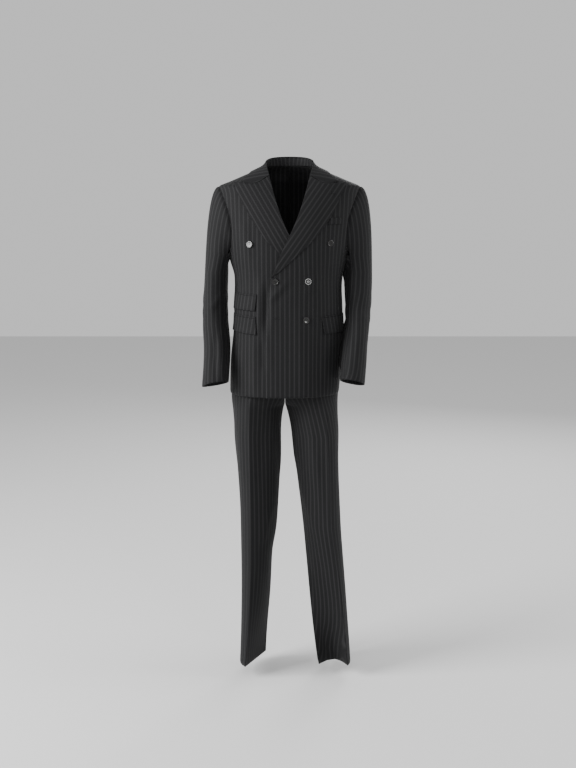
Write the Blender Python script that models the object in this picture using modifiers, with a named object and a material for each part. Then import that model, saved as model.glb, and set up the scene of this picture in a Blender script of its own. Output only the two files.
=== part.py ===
"""Double-breasted suit: a peak-lapel jacket with six front buttons, and its trousers, as worn.

Metres, +Z up. The suit faces -Y, so the wearer's left side is at +X. The origin is where the
collar rests on the wearer: mid width, mid depth, level with the points where the shoulder seams
meet the neck. Every piece of cloth is a wall lofted between unlike sections, because no section
of a worn garment is like the next; its inner points lie one thickness in, along the normals
that it shares with its neighbours, so that the seams stay even through the cloth.
"""
import math

import bpy
import numpy as np
from mathutils import Matrix

# Cloth and making
CLOTH = 0.0020          # worsted with its canvas or turnings
SEAM = 0.0003           # between two pieces that are sewn edge to edge
LAY = 0.0006            # air under a piece that lies on a panel
LAPPED = CLOTH + LAY    # how far such a piece's face stands out
SQUARE = 2.3            # power of the body's sections: 2 is an ellipse, more is squarer

# Armhole: an oval on the body's surface, measured round from the shoulder point
SHOULDER_Z = -0.062
UNDERARM_Z = -0.295
ARM_FRONT = 33.0        # degrees that the oval reaches towards the front
ARM_BACK = 30.0         # and towards the back
ARM_STEPS = (0, 13, 26, 39, 52, 65, 78, 91, 104, 117, 130)
UNDERARM_STEPS = (130, 155, 180, 205, 230)
SIDE_SEAM = 130         # where both seams of the side panel leave the armhole
SLEEVE_START = 0.996    # the sleeve's first ring, as a part of the armhole
HEAD_OUT = {1: 0.0100, -1: 0.0}    # how far each sleeve's head is padded out
HEAD_UP = 0.0080        # and up

# Lengths
NECK_Z = -0.0010
HEM_Z = -0.7300
SLEEVE_RING_Z = -0.335  # first level ring of a sleeve
CUFF_Z = {1: -0.6780, -1: -0.6870}    # the left arm is bent a little more
WAIST_Z = -0.4950
BAND = 0.0360           # depth of the waistband
CROTCH_Z = -0.7750

# Buttons
FRONT_BUTTON = 0.0205
SLEEVE_BUTTON = 0.0150


class Table:
    """Measures in rows, with named columns. The first is the key, and the others are read
    against it as smooth curves that never overshoot their rows."""

    def __init__(self, names, rows):
        self.names = names.split()
        self.rows = np.array(sorted(rows), dtype=float)
        self.slopes = {}
        key = self.rows[:, 0]
        step = np.diff(key)
        for place, name in enumerate(self.names):
            rise = np.diff(self.rows[:, place]) / step
            slope = np.concatenate(([rise[0]], np.zeros(len(rise) - 1), [rise[-1]]))
            for i in range(1, len(rise)):
                if rise[i - 1] * rise[i] > 0:
                    near, far = 2 * step[i] + step[i - 1], step[i] + 2 * step[i - 1]
                    slope[i] = (near + far) / (near / rise[i - 1] + far / rise[i])
            self.slopes[name] = slope

    def __call__(self, name, value):
        key, column = self.rows[:, 0], self.rows[:, self.names.index(name)]
        slope = self.slopes[name]
        if value <= key[0]:
            return float(column[0] + (value - key[0]) * slope[0])
        if value >= key[-1]:
            return float(column[-1] + (value - key[-1]) * slope[-1])
        i = int(np.searchsorted(key, value)) - 1
        width = key[i + 1] - key[i]
        u = (value - key[i]) / width
        return float(
            column[i] * (1 + 2 * u) * (1 - u) ** 2
            + column[i + 1] * u * u * (3 - 2 * u)
            + width * slope[i] * u * (1 - u) ** 2
            + width * slope[i + 1] * u * u * (u - 1)
        )


# The jacket's body: its sides as seen from the front, and its depths, at each height.
# Above the shoulder point the sides are the shoulder line itself.
BODY = Table("z right left front back", (
    (0.0120, -0.0560, 0.0560, 0.040, 0.066),
    (0.0000, -0.0790, 0.0790, 0.050, 0.075),
    (-0.0110, -0.1040, 0.1040, 0.058, 0.082),
    (-0.0220, -0.1290, 0.1290, 0.066, 0.088),
    (-0.0350, -0.1600, 0.1600, 0.074, 0.094),
    (-0.0480, -0.1900, 0.1920, 0.082, 0.099),
    (-0.0560, -0.2120, 0.2120, 0.087, 0.102),
    (-0.0620, -0.2270, 0.2270, 0.090, 0.104),
    (-0.1000, -0.2270, 0.2270, 0.104, 0.115),
    (-0.1500, -0.2210, 0.2200, 0.117, 0.123),
    (-0.2000, -0.2130, 0.2110, 0.126, 0.126),
    (-0.2500, -0.2040, 0.2000, 0.131, 0.124),
    (-0.3000, -0.1940, 0.1870, 0.131, 0.117),
    (-0.3700, -0.1750, 0.1690, 0.127, 0.106),
    (-0.4500, -0.1815, 0.1740, 0.128, 0.112),
    (-0.4950, -0.1820, 0.1755, 0.129, 0.119),
    (-0.5570, -0.1870, 0.1755, 0.130, 0.128),
    (-0.6200, -0.1945, 0.1730, 0.133, 0.135),
    (-0.6800, -0.1965, 0.1685, 0.136, 0.138),
    (-0.7300, -0.1970, 0.1640, 0.138, 0.140),
))

# The largest folds of the worn jacket: soft hollows and ridges, at x and z on the front or the
# back, with a half width, a half length, a lean of x for each z, and how far each stands out.
BODY_FOLDS = (
    dict(face="front", x=-0.082, z=-0.440, wide=0.011, long=0.070, lean=0.05, out=-0.0042),
    dict(face="front", x=-0.103, z=-0.390, wide=0.013, long=0.060, lean=-0.10, out=0.0024),
    dict(face="front", x=-0.150, z=-0.330, wide=0.014, long=0.070, lean=0.25, out=-0.0026),
    dict(face="front", x=0.150, z=-0.300, wide=0.013, long=0.080, lean=-0.22, out=-0.0030),
    dict(face="front", x=0.118, z=-0.390, wide=0.014, long=0.060, lean=-0.15, out=0.0018),
    dict(face="front", x=-0.125, z=-0.640, wide=0.024, long=0.080, lean=0.0, out=-0.0026),
    dict(face="front", x=0.100, z=-0.640, wide=0.026, long=0.080, lean=0.0, out=-0.0026),
    dict(face="back", x=-0.120, z=-0.300, wide=0.014, long=0.090, lean=-0.22, out=-0.0030),
    dict(face="back", x=0.112, z=-0.310, wide=0.015, long=0.080, lean=0.24, out=-0.0034),
    dict(face="back", x=-0.030, z=-0.400, wide=0.030, long=0.030, lean=-1.4, out=-0.0022),
    dict(face="back", x=0.045, z=-0.375, wide=0.026, long=0.030, lean=1.2, out=0.0020),
    dict(face="back", x=-0.090, z=-0.620, wide=0.026, long=0.090, lean=0.0, out=-0.0032),
    dict(face="back", x=0.070, z=-0.630, wide=0.028, long=0.090, lean=0.0, out=-0.0030),
)

# The left front's inner edge: the roll line down to the break, then the buttoned edge.
# The right front's is its mirror image and lies underneath.
FRONT_EDGE = Table("z x", (
    (0.0040, 0.0770), (-0.0189, 0.0660), (-0.0310, 0.0632), (-0.0650, 0.0545),
    (-0.1140, 0.0406), (-0.1500, 0.0280), (-0.1800, 0.0165), (-0.2220, -0.0037),
    (-0.2620, -0.0234), (-0.3330, -0.0510), (-0.3460, -0.0575), (-0.3810, -0.0613),
    (-0.4850, -0.0711), (-0.5715, -0.0758), (-0.7300, -0.0750),
))
GORGE_Z = -0.0315
BREAK_Z = -0.3456

# Each lapel's top edge, from the roll line along the gorge seam and the notch to the peak, and
# its outer edge from the peak down to the break. x is measured outwards on each side.
GORGE = Table("part x z", (
    (0.00, 0.0632, -0.0315), (0.22, 0.0850, -0.0456), (0.42, 0.1080, -0.0582),
    (0.72, 0.1450, -0.0575), (1.00, 0.1780, -0.0550),
))
LAPEL_EDGE_LEFT = Table("part x z", (
    (0.00, 0.1780, -0.0550), (0.09, 0.1640, -0.0800), (0.21, 0.1500, -0.1180),
    (0.34, 0.1253, -0.1649), (0.48, 0.0897, -0.2099), (0.61, 0.0530, -0.2500),
    (0.72, 0.0200, -0.2800), (0.81, -0.0060, -0.3040), (0.91, -0.0340, -0.3285),
    (1.00, -0.0562, -0.3450),
))
LAPEL_EDGE_RIGHT = Table("part x z", (
    (0.00, 0.1740, -0.0550), (0.11, 0.1575, -0.0957), (0.27, 0.1260, -0.1537),
    (0.42, 0.0936, -0.2026), (0.54, 0.0654, -0.2413), (0.64, 0.0337, -0.2661),
    (0.78, -0.0020, -0.3020), (0.91, -0.0366, -0.3310), (1.00, -0.0562, -0.3450),
))

# The collar, from the centre back (0) round to its front end (1): its fold and its outer edge
COLLAR = Table("part fold_x fold_y fold_z edge_x edge_y edge_z", (
    (-0.20, -0.0340, 0.0800, 0.0300, -0.0480, 0.0860, -0.0145),
    (0.00, 0.0000, 0.0860, 0.0310, 0.0000, 0.0920, -0.0150),
    (0.20, 0.0340, 0.0800, 0.0300, 0.0480, 0.0860, -0.0145),
    (0.38, 0.0600, 0.0580, 0.0265, 0.0860, 0.0640, -0.0140),
    (0.54, 0.0735, 0.0260, 0.0200, 0.1130, 0.0260, -0.0125),
    (0.66, 0.0768, -0.0020, 0.0165, 0.1220, -0.0080, -0.0150),
    (0.80, 0.0745, -0.0270, 0.0040, 0.1330, -0.0430, -0.0270),
    (0.90, 0.0665, -0.0560, -0.0170, 0.1430, -0.0560, -0.0390),
    (1.00, 0.0632, -0.0690, -0.0305, 0.1520, -0.0640, -0.0495),
))
GORGE_PART = 0.76       # the collar's end runs along this part of the gorge table
GORGE_GAP = 0.0009      # and this far above the lapel's top edge
COLLAR_ROWS = (0.0, 0.2, 0.4, 0.6, 0.8, 1.0)
LAPEL_COLUMNS = [row * GORGE_PART for row in COLLAR_ROWS] + [0.88, 1.0]
STAND_PART = 0.60       # how far round the collar's stand reaches
STAND_RISE = 0.0265

# Sleeves: width seen from the front, centre of depth, depth, how far the outer side drops and the
# front rises, and the angles of the forearm and hindarm seams round the sleeve, from the outer
# side, at each height
SLEEVE_RIGHT = Table("z outer inner mid deep drop rise fore hind", (
    (-0.335, -0.2750, -0.1960, 0.006, 0.140, 0.000, 0.000, 130, -130),
    (-0.400, -0.2790, -0.1990, 0.004, 0.136, 0.000, 0.000, 130, -118),
    (-0.470, -0.2835, -0.1980, 0.000, 0.130, 0.000, 0.000, 130, -100),
    (-0.530, -0.2830, -0.1930, -0.014, 0.124, 0.004, 0.004, 130, -82),
    (-0.590, -0.2790, -0.1872, -0.036, 0.116, 0.009, 0.012, 130, -62),
    (-0.630, -0.2800, -0.1890, -0.055, 0.111, 0.013, 0.020, 130, -48),
    (-0.705, -0.2860, -0.1935, -0.075, 0.104, 0.018, 0.030, 130, -42),
))
SLEEVE_LEFT = Table("z outer inner mid deep drop rise fore hind", (
    (-0.335, 0.2685, 0.1780, 0.006, 0.140, 0.000, 0.000, 130, -130),
    (-0.367, 0.2690, 0.1735, 0.003, 0.138, 0.000, 0.000, 130, -125),
    (-0.405, 0.2675, 0.1790, -0.001, 0.136, 0.000, 0.000, 130, -118),
    (-0.440, 0.2655, 0.1785, -0.006, 0.134, 0.000, 0.000, 130, -110),
    (-0.500, 0.2600, 0.1790, -0.028, 0.128, 0.003, 0.003, 130, -98),
    (-0.560, 0.2535, 0.1715, -0.056, 0.121, 0.008, 0.012, 130, -88),
    (-0.630, 0.2470, 0.1630, -0.080, 0.112, 0.013, 0.024, 130, -78),
    (-0.705, 0.2400, 0.1570, -0.098, 0.104, 0.018, 0.034, 130, -75),
))
SLEEVE_FOLDS = (
    dict(angle=150, z=-0.345, wide=34, long=0.016, out=-0.0040),
    dict(angle=110, z=-0.440, wide=26, long=0.020, out=-0.0036),
    dict(angle=140, z=-0.500, wide=34, long=0.015, out=-0.0038),
    dict(angle=20, z=-0.560, wide=30, long=0.018, out=-0.0028),
    dict(angle=60, z=-0.655, wide=32, long=0.016, out=-0.0026),
    dict(angle=-140, z=-0.420, wide=34, long=0.020, out=-0.0030),
    dict(angle=-90, z=-0.615, wide=30, long=0.018, out=-0.0026),
)

# Trousers: the four lines that the legs are pressed and sewn to, at each height: the side seam,
# the front crease, the inner line (centre front and back above the crotch, inseam below), and
# the back crease. curve is how far the cloth between the crease and the inner line rounds out.
TROUSER_COLUMNS = "z side_x side_y crease_x crease_y inner_x front_y back_y back_x seat_y curve"
TROUSER_RIGHT = Table(TROUSER_COLUMNS, (
    (-0.495, -0.1540, 0.004, -0.0860, -0.094, -0.0110, -0.106, 0.092, -0.0800, 0.087, 0.06),
    (-0.580, -0.1700, 0.004, -0.0960, -0.107, -0.0130, -0.114, 0.104, -0.0900, 0.102, 0.05),
    (-0.660, -0.1880, 0.000, -0.1080, -0.111, -0.0148, -0.114, 0.112, -0.1000, 0.112, 0.06),
    (-0.700, -0.1915, 0.000, -0.1180, -0.106, -0.0150, -0.096, 0.104, -0.1080, 0.112, 0.13),
    (-0.740, -0.1925, 0.000, -0.1260, -0.103, -0.0150, -0.066, 0.078, -0.1140, 0.111, 0.22),
    (-0.765, -0.1905, 0.000, -0.1310, -0.102, -0.0150, -0.030, 0.040, -0.1180, 0.110, 0.30),
    (-0.775, -0.1890, 0.000, -0.1320, -0.102, -0.0152, -0.002, 0.002, -0.1190, 0.109, 0.33),
    (-0.795, -0.1865, 0.000, -0.1320, -0.101, -0.0236, -0.001, 0.001, -0.1200, 0.108, 0.34),
    (-0.870, -0.1815, 0.000, -0.1320, -0.100, -0.0258, 0.000, 0.000, -0.1190, 0.107, 0.34),
    (-0.990, -0.1720, 0.000, -0.1305, -0.095, -0.0300, 0.000, 0.000, -0.1140, 0.103, 0.34),
    (-1.107, -0.1637, 0.000, -0.1300, -0.090, -0.0365, 0.000, 0.000, -0.1100, 0.099, 0.34),
    (-1.210, -0.1620, 0.000, -0.1305, -0.088, -0.0430, 0.000, 0.000, -0.1080, 0.096, 0.34),
    (-1.262, -0.1615, 0.000, -0.1310, -0.087, -0.0560, 0.002, 0.002, -0.1080, 0.094, 0.33),
    (-1.303, -0.1605, 0.000, -0.1310, -0.086, -0.0597, 0.006, 0.006, -0.1080, 0.092, 0.31),
    (-1.398, -0.1600, 0.000, -0.1320, -0.086, -0.0615, 0.016, 0.016, -0.1090, 0.090, 0.24),
    (-1.473, -0.1605, 0.000, -0.1365, -0.086, -0.0682, 0.028, 0.028, -0.1100, 0.089, 0.16),
    (-1.571, -0.1618, 0.000, -0.1410, -0.086, -0.0767, 0.045, 0.045, -0.1120, 0.088, 0.06),
    (-1.661, -0.1635, 0.000, -0.1490, -0.086, -0.0810, 0.056, 0.056, -0.1130, 0.087, 0.00),
))
TROUSER_LEFT = Table(TROUSER_COLUMNS, (
    (-0.495, 0.1350, 0.004, 0.0640, -0.094, -0.0110, -0.106, 0.092, 0.0580, 0.087, 0.06),
    (-0.580, 0.1480, 0.004, 0.0720, -0.107, -0.0130, -0.114, 0.104, 0.0650, 0.102, 0.05),
    (-0.660, 0.1633, 0.000, 0.0820, -0.111, -0.0148, -0.114, 0.112, 0.0720, 0.112, 0.06),
    (-0.700, 0.1631, 0.000, 0.0900, -0.106, -0.0150, -0.096, 0.104, 0.0780, 0.112, 0.13),
    (-0.740, 0.1606, 0.000, 0.1000, -0.103, -0.0150, -0.066, 0.078, 0.0840, 0.111, 0.22),
    (-0.765, 0.1590, 0.000, 0.1120, -0.102, -0.0150, -0.030, 0.040, 0.0880, 0.110, 0.30),
    (-0.775, 0.1584, 0.000, 0.1160, -0.102, -0.0148, -0.002, 0.002, 0.0890, 0.109, 0.33),
    (-0.795, 0.1575, 0.000, 0.1210, -0.101, -0.0066, -0.001, 0.001, 0.0900, 0.108, 0.34),
    (-0.870, 0.1580, 0.000, 0.1280, -0.100, 0.0062, 0.000, 0.000, 0.0960, 0.107, 0.34),
    (-0.955, 0.1590, 0.000, 0.1310, -0.096, 0.0177, 0.000, 0.000, 0.1010, 0.104, 0.34),
    (-1.020, 0.1605, 0.000, 0.1340, -0.093, 0.0261, 0.000, 0.000, 0.1050, 0.102, 0.34),
    (-1.100, 0.1662, 0.000, 0.1370, -0.090, 0.0357, 0.000, 0.000, 0.1100, 0.099, 0.34),
    (-1.180, 0.1700, 0.002, 0.1400, -0.088, 0.0450, 0.000, 0.000, 0.1150, 0.097, 0.33),
    (-1.250, 0.1735, 0.004, 0.1505, -0.087, 0.0515, -0.002, -0.002, 0.1190, 0.095, 0.30),
    (-1.320, 0.1768, 0.006, 0.1615, -0.085, 0.0583, -0.006, -0.006, 0.1230, 0.093, 0.22),
    (-1.400, 0.1810, 0.008, 0.1720, -0.083, 0.0656, -0.015, -0.015, 0.1280, 0.091, 0.05),
    (-1.480, 0.1845, 0.010, 0.1800, -0.081, 0.0738, -0.028, -0.028, 0.1330, 0.089, -0.20),
    (-1.570, 0.1915, 0.010, 0.1890, -0.078, 0.0848, -0.045, -0.045, 0.1400, 0.087, -0.60),
    (-1.661, 0.1965, 0.010, 0.1965, -0.075, 0.1005, -0.060, -0.060, 0.1480, 0.085, -1.00),
))
TROUSER_LEVELS = (
    -0.5313, -0.6000, -0.6600, -0.7000, -0.7350, -0.7600, -0.7730, -0.7850, -0.8200, -0.9000,
    -1.0000, -1.1000, -1.1900, -1.2400, -1.2750, -1.3400, -1.4300, -1.5200, -1.6000, -1.6610,
)

# Colours of the cloth, as scene-linear values, and the buttons
CHARCOAL = (0.016, 0.016, 0.017)
HORN = (0.060, 0.058, 0.058)


def paint(name, colour, roughness, metallic=0.0):
    """A plain material for a solid."""
    material = bpy.data.materials.new(name)
    material.use_nodes = True
    shader = material.node_tree.nodes["Principled BSDF"]
    shader.inputs["Base Color"].default_value = (*colour, 1.0)
    shader.inputs["Roughness"].default_value = roughness
    shader.inputs["Metallic"].default_value = metallic
    return material


def turn(degrees):
    """Sine and cosine of an angle in degrees."""
    return math.sin(math.radians(degrees)), math.cos(math.radians(degrees))


def signed_power(value, power):
    """A power that keeps its sign."""
    return math.copysign(abs(value) ** power, value)


def smooth(low, high, value):
    """0 below low, 1 above high, and a soft step between them."""
    u = min(max((value - low) / (high - low), 0.0), 1.0)
    return u * u * (3 - 2 * u)


def mix(first, second, part):
    """A value or point part of the way from the first to the second."""
    return first + (second - first) * part


def body_half(z):
    """Centre and half width of the body's section at a height."""
    right, left = BODY("right", z), BODY("left", z)
    return (left + right) / 2, (left - right) / 2


def fold_height(folds, face, x, z):
    """How far the folds of one face move the cloth out at x and z."""
    height = 0.0
    for fold in folds:
        if fold["face"] == face:
            across = (x - fold["x"] - fold["lean"] * (z - fold["z"])) / fold["wide"]
            along = (z - fold["z"]) / fold["long"]
            height += fold["out"] * math.exp(-across * across - along * along)
    return height


def body(angle, z):
    """A point of the jacket's body. The angle runs from the centre front (0) over the wearer's
    left side (90) to the centre back (180), and negative round the right side."""
    centre, half = body_half(z)
    sine, cosine = turn(angle)
    face = "front" if cosine > 0 else "back"
    x = centre + half * signed_power(sine, 2 / SQUARE)
    y = -BODY(face, z) * signed_power(cosine, 2 / SQUARE)
    side = math.copysign(1.0, y)
    return np.array((x, y + side * fold_height(BODY_FOLDS, face, x, z), z))


def body_normal(angle, z):
    """Unit normal of the body, pointing out."""
    across = body(angle + 1.5, z) - body(angle - 1.5, z)
    along = body(angle, z + 0.003) - body(angle, z - 0.003)
    normal = np.cross(across, along)
    return normal / np.linalg.norm(normal)


def angle_of(x, z):
    """The body's angle at x on its front."""
    centre, half = body_half(z)
    part = min(max((x - centre) / half, -1.0), 1.0)
    return math.degrees(math.asin(signed_power(part, SQUARE / 2)))


def nudge(angle, z, distance):
    """The angle that lies a distance further round the body."""
    step = 1.5 if distance > 0 else -1.5
    reach = np.linalg.norm(body(angle + step, z) - body(angle, z))
    return angle + step * abs(distance) / reach


def lift(x, z):
    """How far the left front stands out where it laps over the right front and its lapel."""
    over_front = (LAPPED + 0.0006) * (1 - smooth(0.080, 0.125, x)) * smooth(-0.060, -0.150, z)
    under = smooth(-0.110, -0.190, z) * smooth(-0.430, -0.350, z) * (1 - smooth(0.064, 0.110, x))
    return over_front + (LAPPED + 0.0008) * under


def wall(name, outer, normal, material, thick=CLOTH):
    """A cloth wall over a grid of outer points, with its inner points and its four edges."""
    outer = np.asarray(outer, dtype=float)
    normal = np.asarray(normal, dtype=float)
    rows, cols = outer.shape[:2]
    inner = outer - normal * thick
    points = [tuple(p) for p in outer.reshape(-1, 3)] + [tuple(p) for p in inner.reshape(-1, 3)]
    count = rows * cols
    row, col = rows // 2, cols // 2
    across = outer[row, min(col + 1, cols - 1)] - outer[row, col - 1]
    along = outer[min(row + 1, rows - 1), col] - outer[row - 1, col]
    flip = np.dot(np.cross(across, along), normal[row, col]) < 0
    faces = []
    for i in range(rows - 1):
        for j in range(cols - 1):
            a, b = i * cols + j, i * cols + j + 1
            c, d = b + cols, a + cols
            faces.append((a, b, c, d))
            faces.append((d + count, c + count, b + count, a + count))
    rim = [i * cols for i in range(rows)]
    rim += [(rows - 1) * cols + j for j in range(1, cols)]
    rim += [i * cols + cols - 1 for i in range(rows - 2, -1, -1)]
    rim += list(range(cols - 2, 0, -1))
    for place, a in enumerate(rim):
        b = rim[(place + 1) % len(rim)]
        faces.append((a, b, b + count, a + count))
    if flip:
        faces = [tuple(reversed(face)) for face in faces]
    mesh = bpy.data.meshes.new(name)
    mesh.from_pydata(points, [], faces)
    mesh.shade_smooth()
    mesh.set_sharp_from_angle(angle=math.radians(50))
    mesh.materials.append(material)
    piece = bpy.data.objects.new(name, mesh)
    SUIT.objects.link(piece)
    return piece


def panel(name, grid, material, out=None, thick=CLOTH):
    """A wall on the jacket's body, from a grid of (angle, z), moved out by out(x, z, row, col)."""
    outer, normals = [], []
    for i, line in enumerate(grid):
        points = [body(angle, z) for angle, z in line]
        lines = [body_normal(angle, z) for angle, z in line]
        if out:
            points = [
                p + n * out(p[0], p[2], i / (len(grid) - 1), j / (len(line) - 1))
                for j, (p, n) in enumerate(zip(points, lines))
            ]
        outer.append(points)
        normals.append(lines)
    return wall(name, outer, normals, material, thick)


def arm_angle(step):
    """The body's angle, on the wearer's left, at a step round the armhole."""
    sine, _ = turn(step)
    return 90 - (ARM_FRONT if sine > 0 else ARM_BACK) * sine


def arm_z(step):
    """The height at a step round the armhole."""
    middle = (SHOULDER_Z + UNDERARM_Z) / 2
    return middle + (SHOULDER_Z - UNDERARM_Z) / 2 * turn(step)[1]


def levels(top, bottom, count):
    """Even levels from the top to the bottom."""
    return [mix(top, bottom, i / count) for i in range(count + 1)]


def body_rows():
    """Heights of the panels' rows, shared so that neighbours have the same chords at a seam,
    each with its step round the armhole, or None above and below it."""
    shoulder = [(z, None) for z in (NECK_Z, -0.0110, -0.0220, -0.0350, -0.0480, -0.0560)]
    armhole = [(arm_z(step), step) for step in ARM_STEPS]
    return shoulder + armhole + [(z, None) for z in side_rows()]


def side_rows():
    """Heights below the armhole."""
    return [-0.2800, -0.3100] + levels(-0.3450, HEM_Z, 9)


def outer_angle(step, z, back):
    """Where a front or back panel ends at a height: shoulder seam, armhole or side seam."""
    if z > SHOULDER_Z + 1e-6:
        return 90.0
    at = SIDE_SEAM if step is None else step
    return arm_angle(360 - at if back else at)


def front_panel(side, material):
    """One front, from its edge or roll line to the shoulder, armhole and side seams."""
    cols = 10
    grid = []
    for z, step in body_rows():
        edge = angle_of(side * FRONT_EDGE("x", z), z)
        seam = nudge(side * outer_angle(step, z, False), z, -side * SEAM / 2)
        grid.append([(mix(edge, seam, j / cols), z) for j in range(cols + 1)])
    name = "jacket_front_left" if side > 0 else "jacket_front_right"
    out = (lambda x, z, row, col: lift(x, z)) if side > 0 else None
    return panel(name, grid, material, out)


def back_panel(side, material):
    """One back, from the centre seam to the side, armhole and shoulder seams."""
    cols = 7
    grid = []
    for z, step in body_rows():
        centre = nudge(side * 180.0, z, -side * SEAM / 2)
        seam = nudge(side * outer_angle(step, z, True), z, side * SEAM / 2)
        grid.append([(mix(centre, seam, j / cols), z) for j in range(cols + 1)])
    return panel("jacket_back_left" if side > 0 else "jacket_back_right", grid, material)


def side_panel(side, material):
    """The panel under the arm, between the two side seams."""
    grid = []
    top = [(side * arm_angle(step), arm_z(step)) for step in UNDERARM_STEPS]
    rows = side_rows()
    second = [mix(z, rows[1], 0.5) for _, z in top]
    second[0] = second[-1] = rows[0]
    below = [[(angle, z) for angle, _ in top] for z in rows[1:]]
    for line in [top, [(angle, z) for (angle, _), z in zip(top, second)]] + below:
        line = list(line)
        line[0] = (nudge(line[0][0], line[0][1], side * SEAM / 2), line[0][1])
        line[-1] = (nudge(line[-1][0], line[-1][1], -side * SEAM / 2), line[-1][1])
        grid.append(line)
    return panel("jacket_side_left" if side > 0 else "jacket_side_right", grid, material)


def lapel(side, material):
    """A peak lapel: the front turned back along the roll line, from the gorge to the break."""
    rows = 12
    edge = LAPEL_EDGE_LEFT if side > 0 else LAPEL_EDGE_RIGHT
    peak = np.array((edge("x", 0.0), edge("z", 0.0)))
    root = np.array((GORGE("x", 0.0), GORGE("z", 0.0)))
    end = np.array((FRONT_EDGE("x", BREAK_Z), BREAK_Z))
    tip = np.array((edge("x", 1.0), edge("z", 1.0)))
    grid = []
    for i in range(rows + 1):
        v = (i / rows) ** 1.15
        roll_z = mix(GORGE_Z, BREAK_Z, v)
        roll = np.array((FRONT_EDGE("x", roll_z), roll_z))
        rim = np.array((edge("x", v), edge("z", v)))
        line = []
        for u in LAPEL_COLUMNS:
            top = np.array((GORGE("x", u), GORGE("z", u)))
            top = top + (peak - np.array((GORGE("x", 1.0), GORGE("z", 1.0)))) * u
            low = mix(end, tip, u)
            corners = mix(mix(root, peak, u), mix(end, tip, u), v)
            x, z = mix(top, low, v) + mix(roll, rim, u) - corners
            line.append((angle_of(side * x, z), z))
        grid.append(line)

    def out(x, z, row, col):
        roll_up = 0.0014 * math.sin(math.pi * min(col * 1.15, 1.0)) * (1 - row) ** 0.5
        over_shoulder = (0.0014 + 0.0038 * col * col) * (1 - smooth(0.0, 0.32, row))
        return LAPPED + roll_up + over_shoulder + (lift(x, z) if side > 0 else 0.0)

    return panel("lapel_left" if side > 0 else "lapel_right", grid, material, out)


def off_body(point, clear):
    """The point, moved straight out of the body until it lies at least clear away from it."""
    for _ in range(4):
        def level(p):
            centre, half = body_half(p[2])
            depth = BODY("front" if p[1] < 0 else "back", p[2])
            return abs((p[0] - centre) / half) ** SQUARE + abs(p[1] / depth) ** SQUARE
        here = level(point)
        slope = np.array([level(point + d) - here for d in np.eye(3) * 1e-4]) / 1e-4
        size = np.linalg.norm(slope)
        gap = (here - 1) / size
        if gap < clear:
            point = point + slope / size * (clear - gap)
    return point


def collar_point(part, across, clear=LAPPED + 0.0009):
    """A point of the collar's leaf: part runs from -1 (right end) over the centre back to 1,
    and across from the fold (0) to the outer edge (1)."""
    side, reach = math.copysign(1.0, part), abs(part)
    fold = np.array([COLLAR(name, reach) for name in ("fold_x", "fold_y", "fold_z")])
    edge = np.array([COLLAR(name, reach) for name in ("edge_x", "edge_y", "edge_z")])
    close = smooth(0.15, 0.50, reach) * (1 - smooth(0.62, 0.84, reach))     # beside the neck
    level = mix(0.40, 0.12, close)
    middle = mix(fold, edge, np.array((level, level, mix(0.20, 0.70, close))))
    leaf = fold * (1 - across) ** 2 + middle * 2 * across * (1 - across) + edge * across ** 2
    blend = smooth(0.72, 1.0, reach)
    if blend > 0:
        u = across * GORGE_PART
        x = GORGE("x", u) + 0.0035 * smooth(0.85, 1.0, across)
        z = GORGE("z", u) + GORGE_GAP * (2.6 - 1.6 * across) + 0.0065 * smooth(0.88, 1.0, across)
        angle = angle_of(x, z)
        end = body(angle, z) + body_normal(angle, z) * (clear + 0.0012)
        leaf = mix(leaf, end, blend)
    leaf = off_body(leaf, clear)
    return leaf * np.array((side, 1.0, 1.0))


def grid_normals(surface, us, vs, du, dv, outside):
    """Normals of a surface(u, v) over a grid, turned to point away from a line of centres."""
    normals = []
    for v in vs:
        line = []
        for u in us:
            across = surface(u + du, v) - surface(u - du, v)
            along = surface(u, v + dv) - surface(u, v - dv)
            normal = np.cross(across, along)
            normal /= np.linalg.norm(normal)
            if np.dot(normal, outside(u, v)) < 0:
                normal = -normal
            line.append(normal)
        normals.append(line)
    return normals


def collar(material):
    """The collar's leaf, which falls over the neck seam and the shoulders, and its stand."""
    parts = [-1 + i / 13 for i in range(27)]
    rows = COLLAR_ROWS

    def away(part, across):
        point = collar_point(part, across)
        return np.array((point[0], point[1] * 0.8, 0.05 + 0.05 * across))

    outer = [[collar_point(part, across) for part in parts] for across in rows]
    normals = grid_normals(collar_point, parts, rows, 0.012, 0.02, away)
    wall("collar_leaf", outer, normals, material)

    around = [-STAND_PART + i * STAND_PART / 10 for i in range(21)]
    outer, normals = [], []
    for rise in (0.0, 0.5, 1.0):
        line, turned = [], []
        for part in around:
            angle = 180 - 90 * part / STAND_PART * 0.985
            foot = body(angle if angle <= 180 else angle - 360, NECK_Z)
            flat = np.array((foot[0], foot[1] - 0.010, 0.0))
            flat /= np.linalg.norm(flat)
            height = NECK_Z + SEAM + rise * STAND_RISE * (1 - 0.30 * smooth(0.3, 0.6, abs(part)))
            fold = collar_point(part, 0.0)
            goal = np.array((fold[0], fold[1], height)) - flat * (CLOTH + 0.0012)
            foot = np.array((foot[0], foot[1], height))
            line.append(mix(foot, goal, rise))
            turned.append(flat)
        outer.append(line)
        normals.append(turned)
    wall("collar_stand", outer, normals, material)


def sleeve_ring(table, side, step, z):
    """A point of a sleeve below the armhole, at a step round it and a height."""
    fore, hind = table("fore", z), table("hind", z)
    angle = step if step <= 180 else step - 360
    if -SIDE_SEAM <= angle <= SIDE_SEAM:
        angle = angle * (fore / SIDE_SEAM if angle > 0 else -hind / SIDE_SEAM)
    else:
        part = (step - SIDE_SEAM) / (360 - 2 * SIDE_SEAM)
        angle = mix(fore, 360 + hind, part)
    return sleeve_at(table, side, angle, z)


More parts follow.
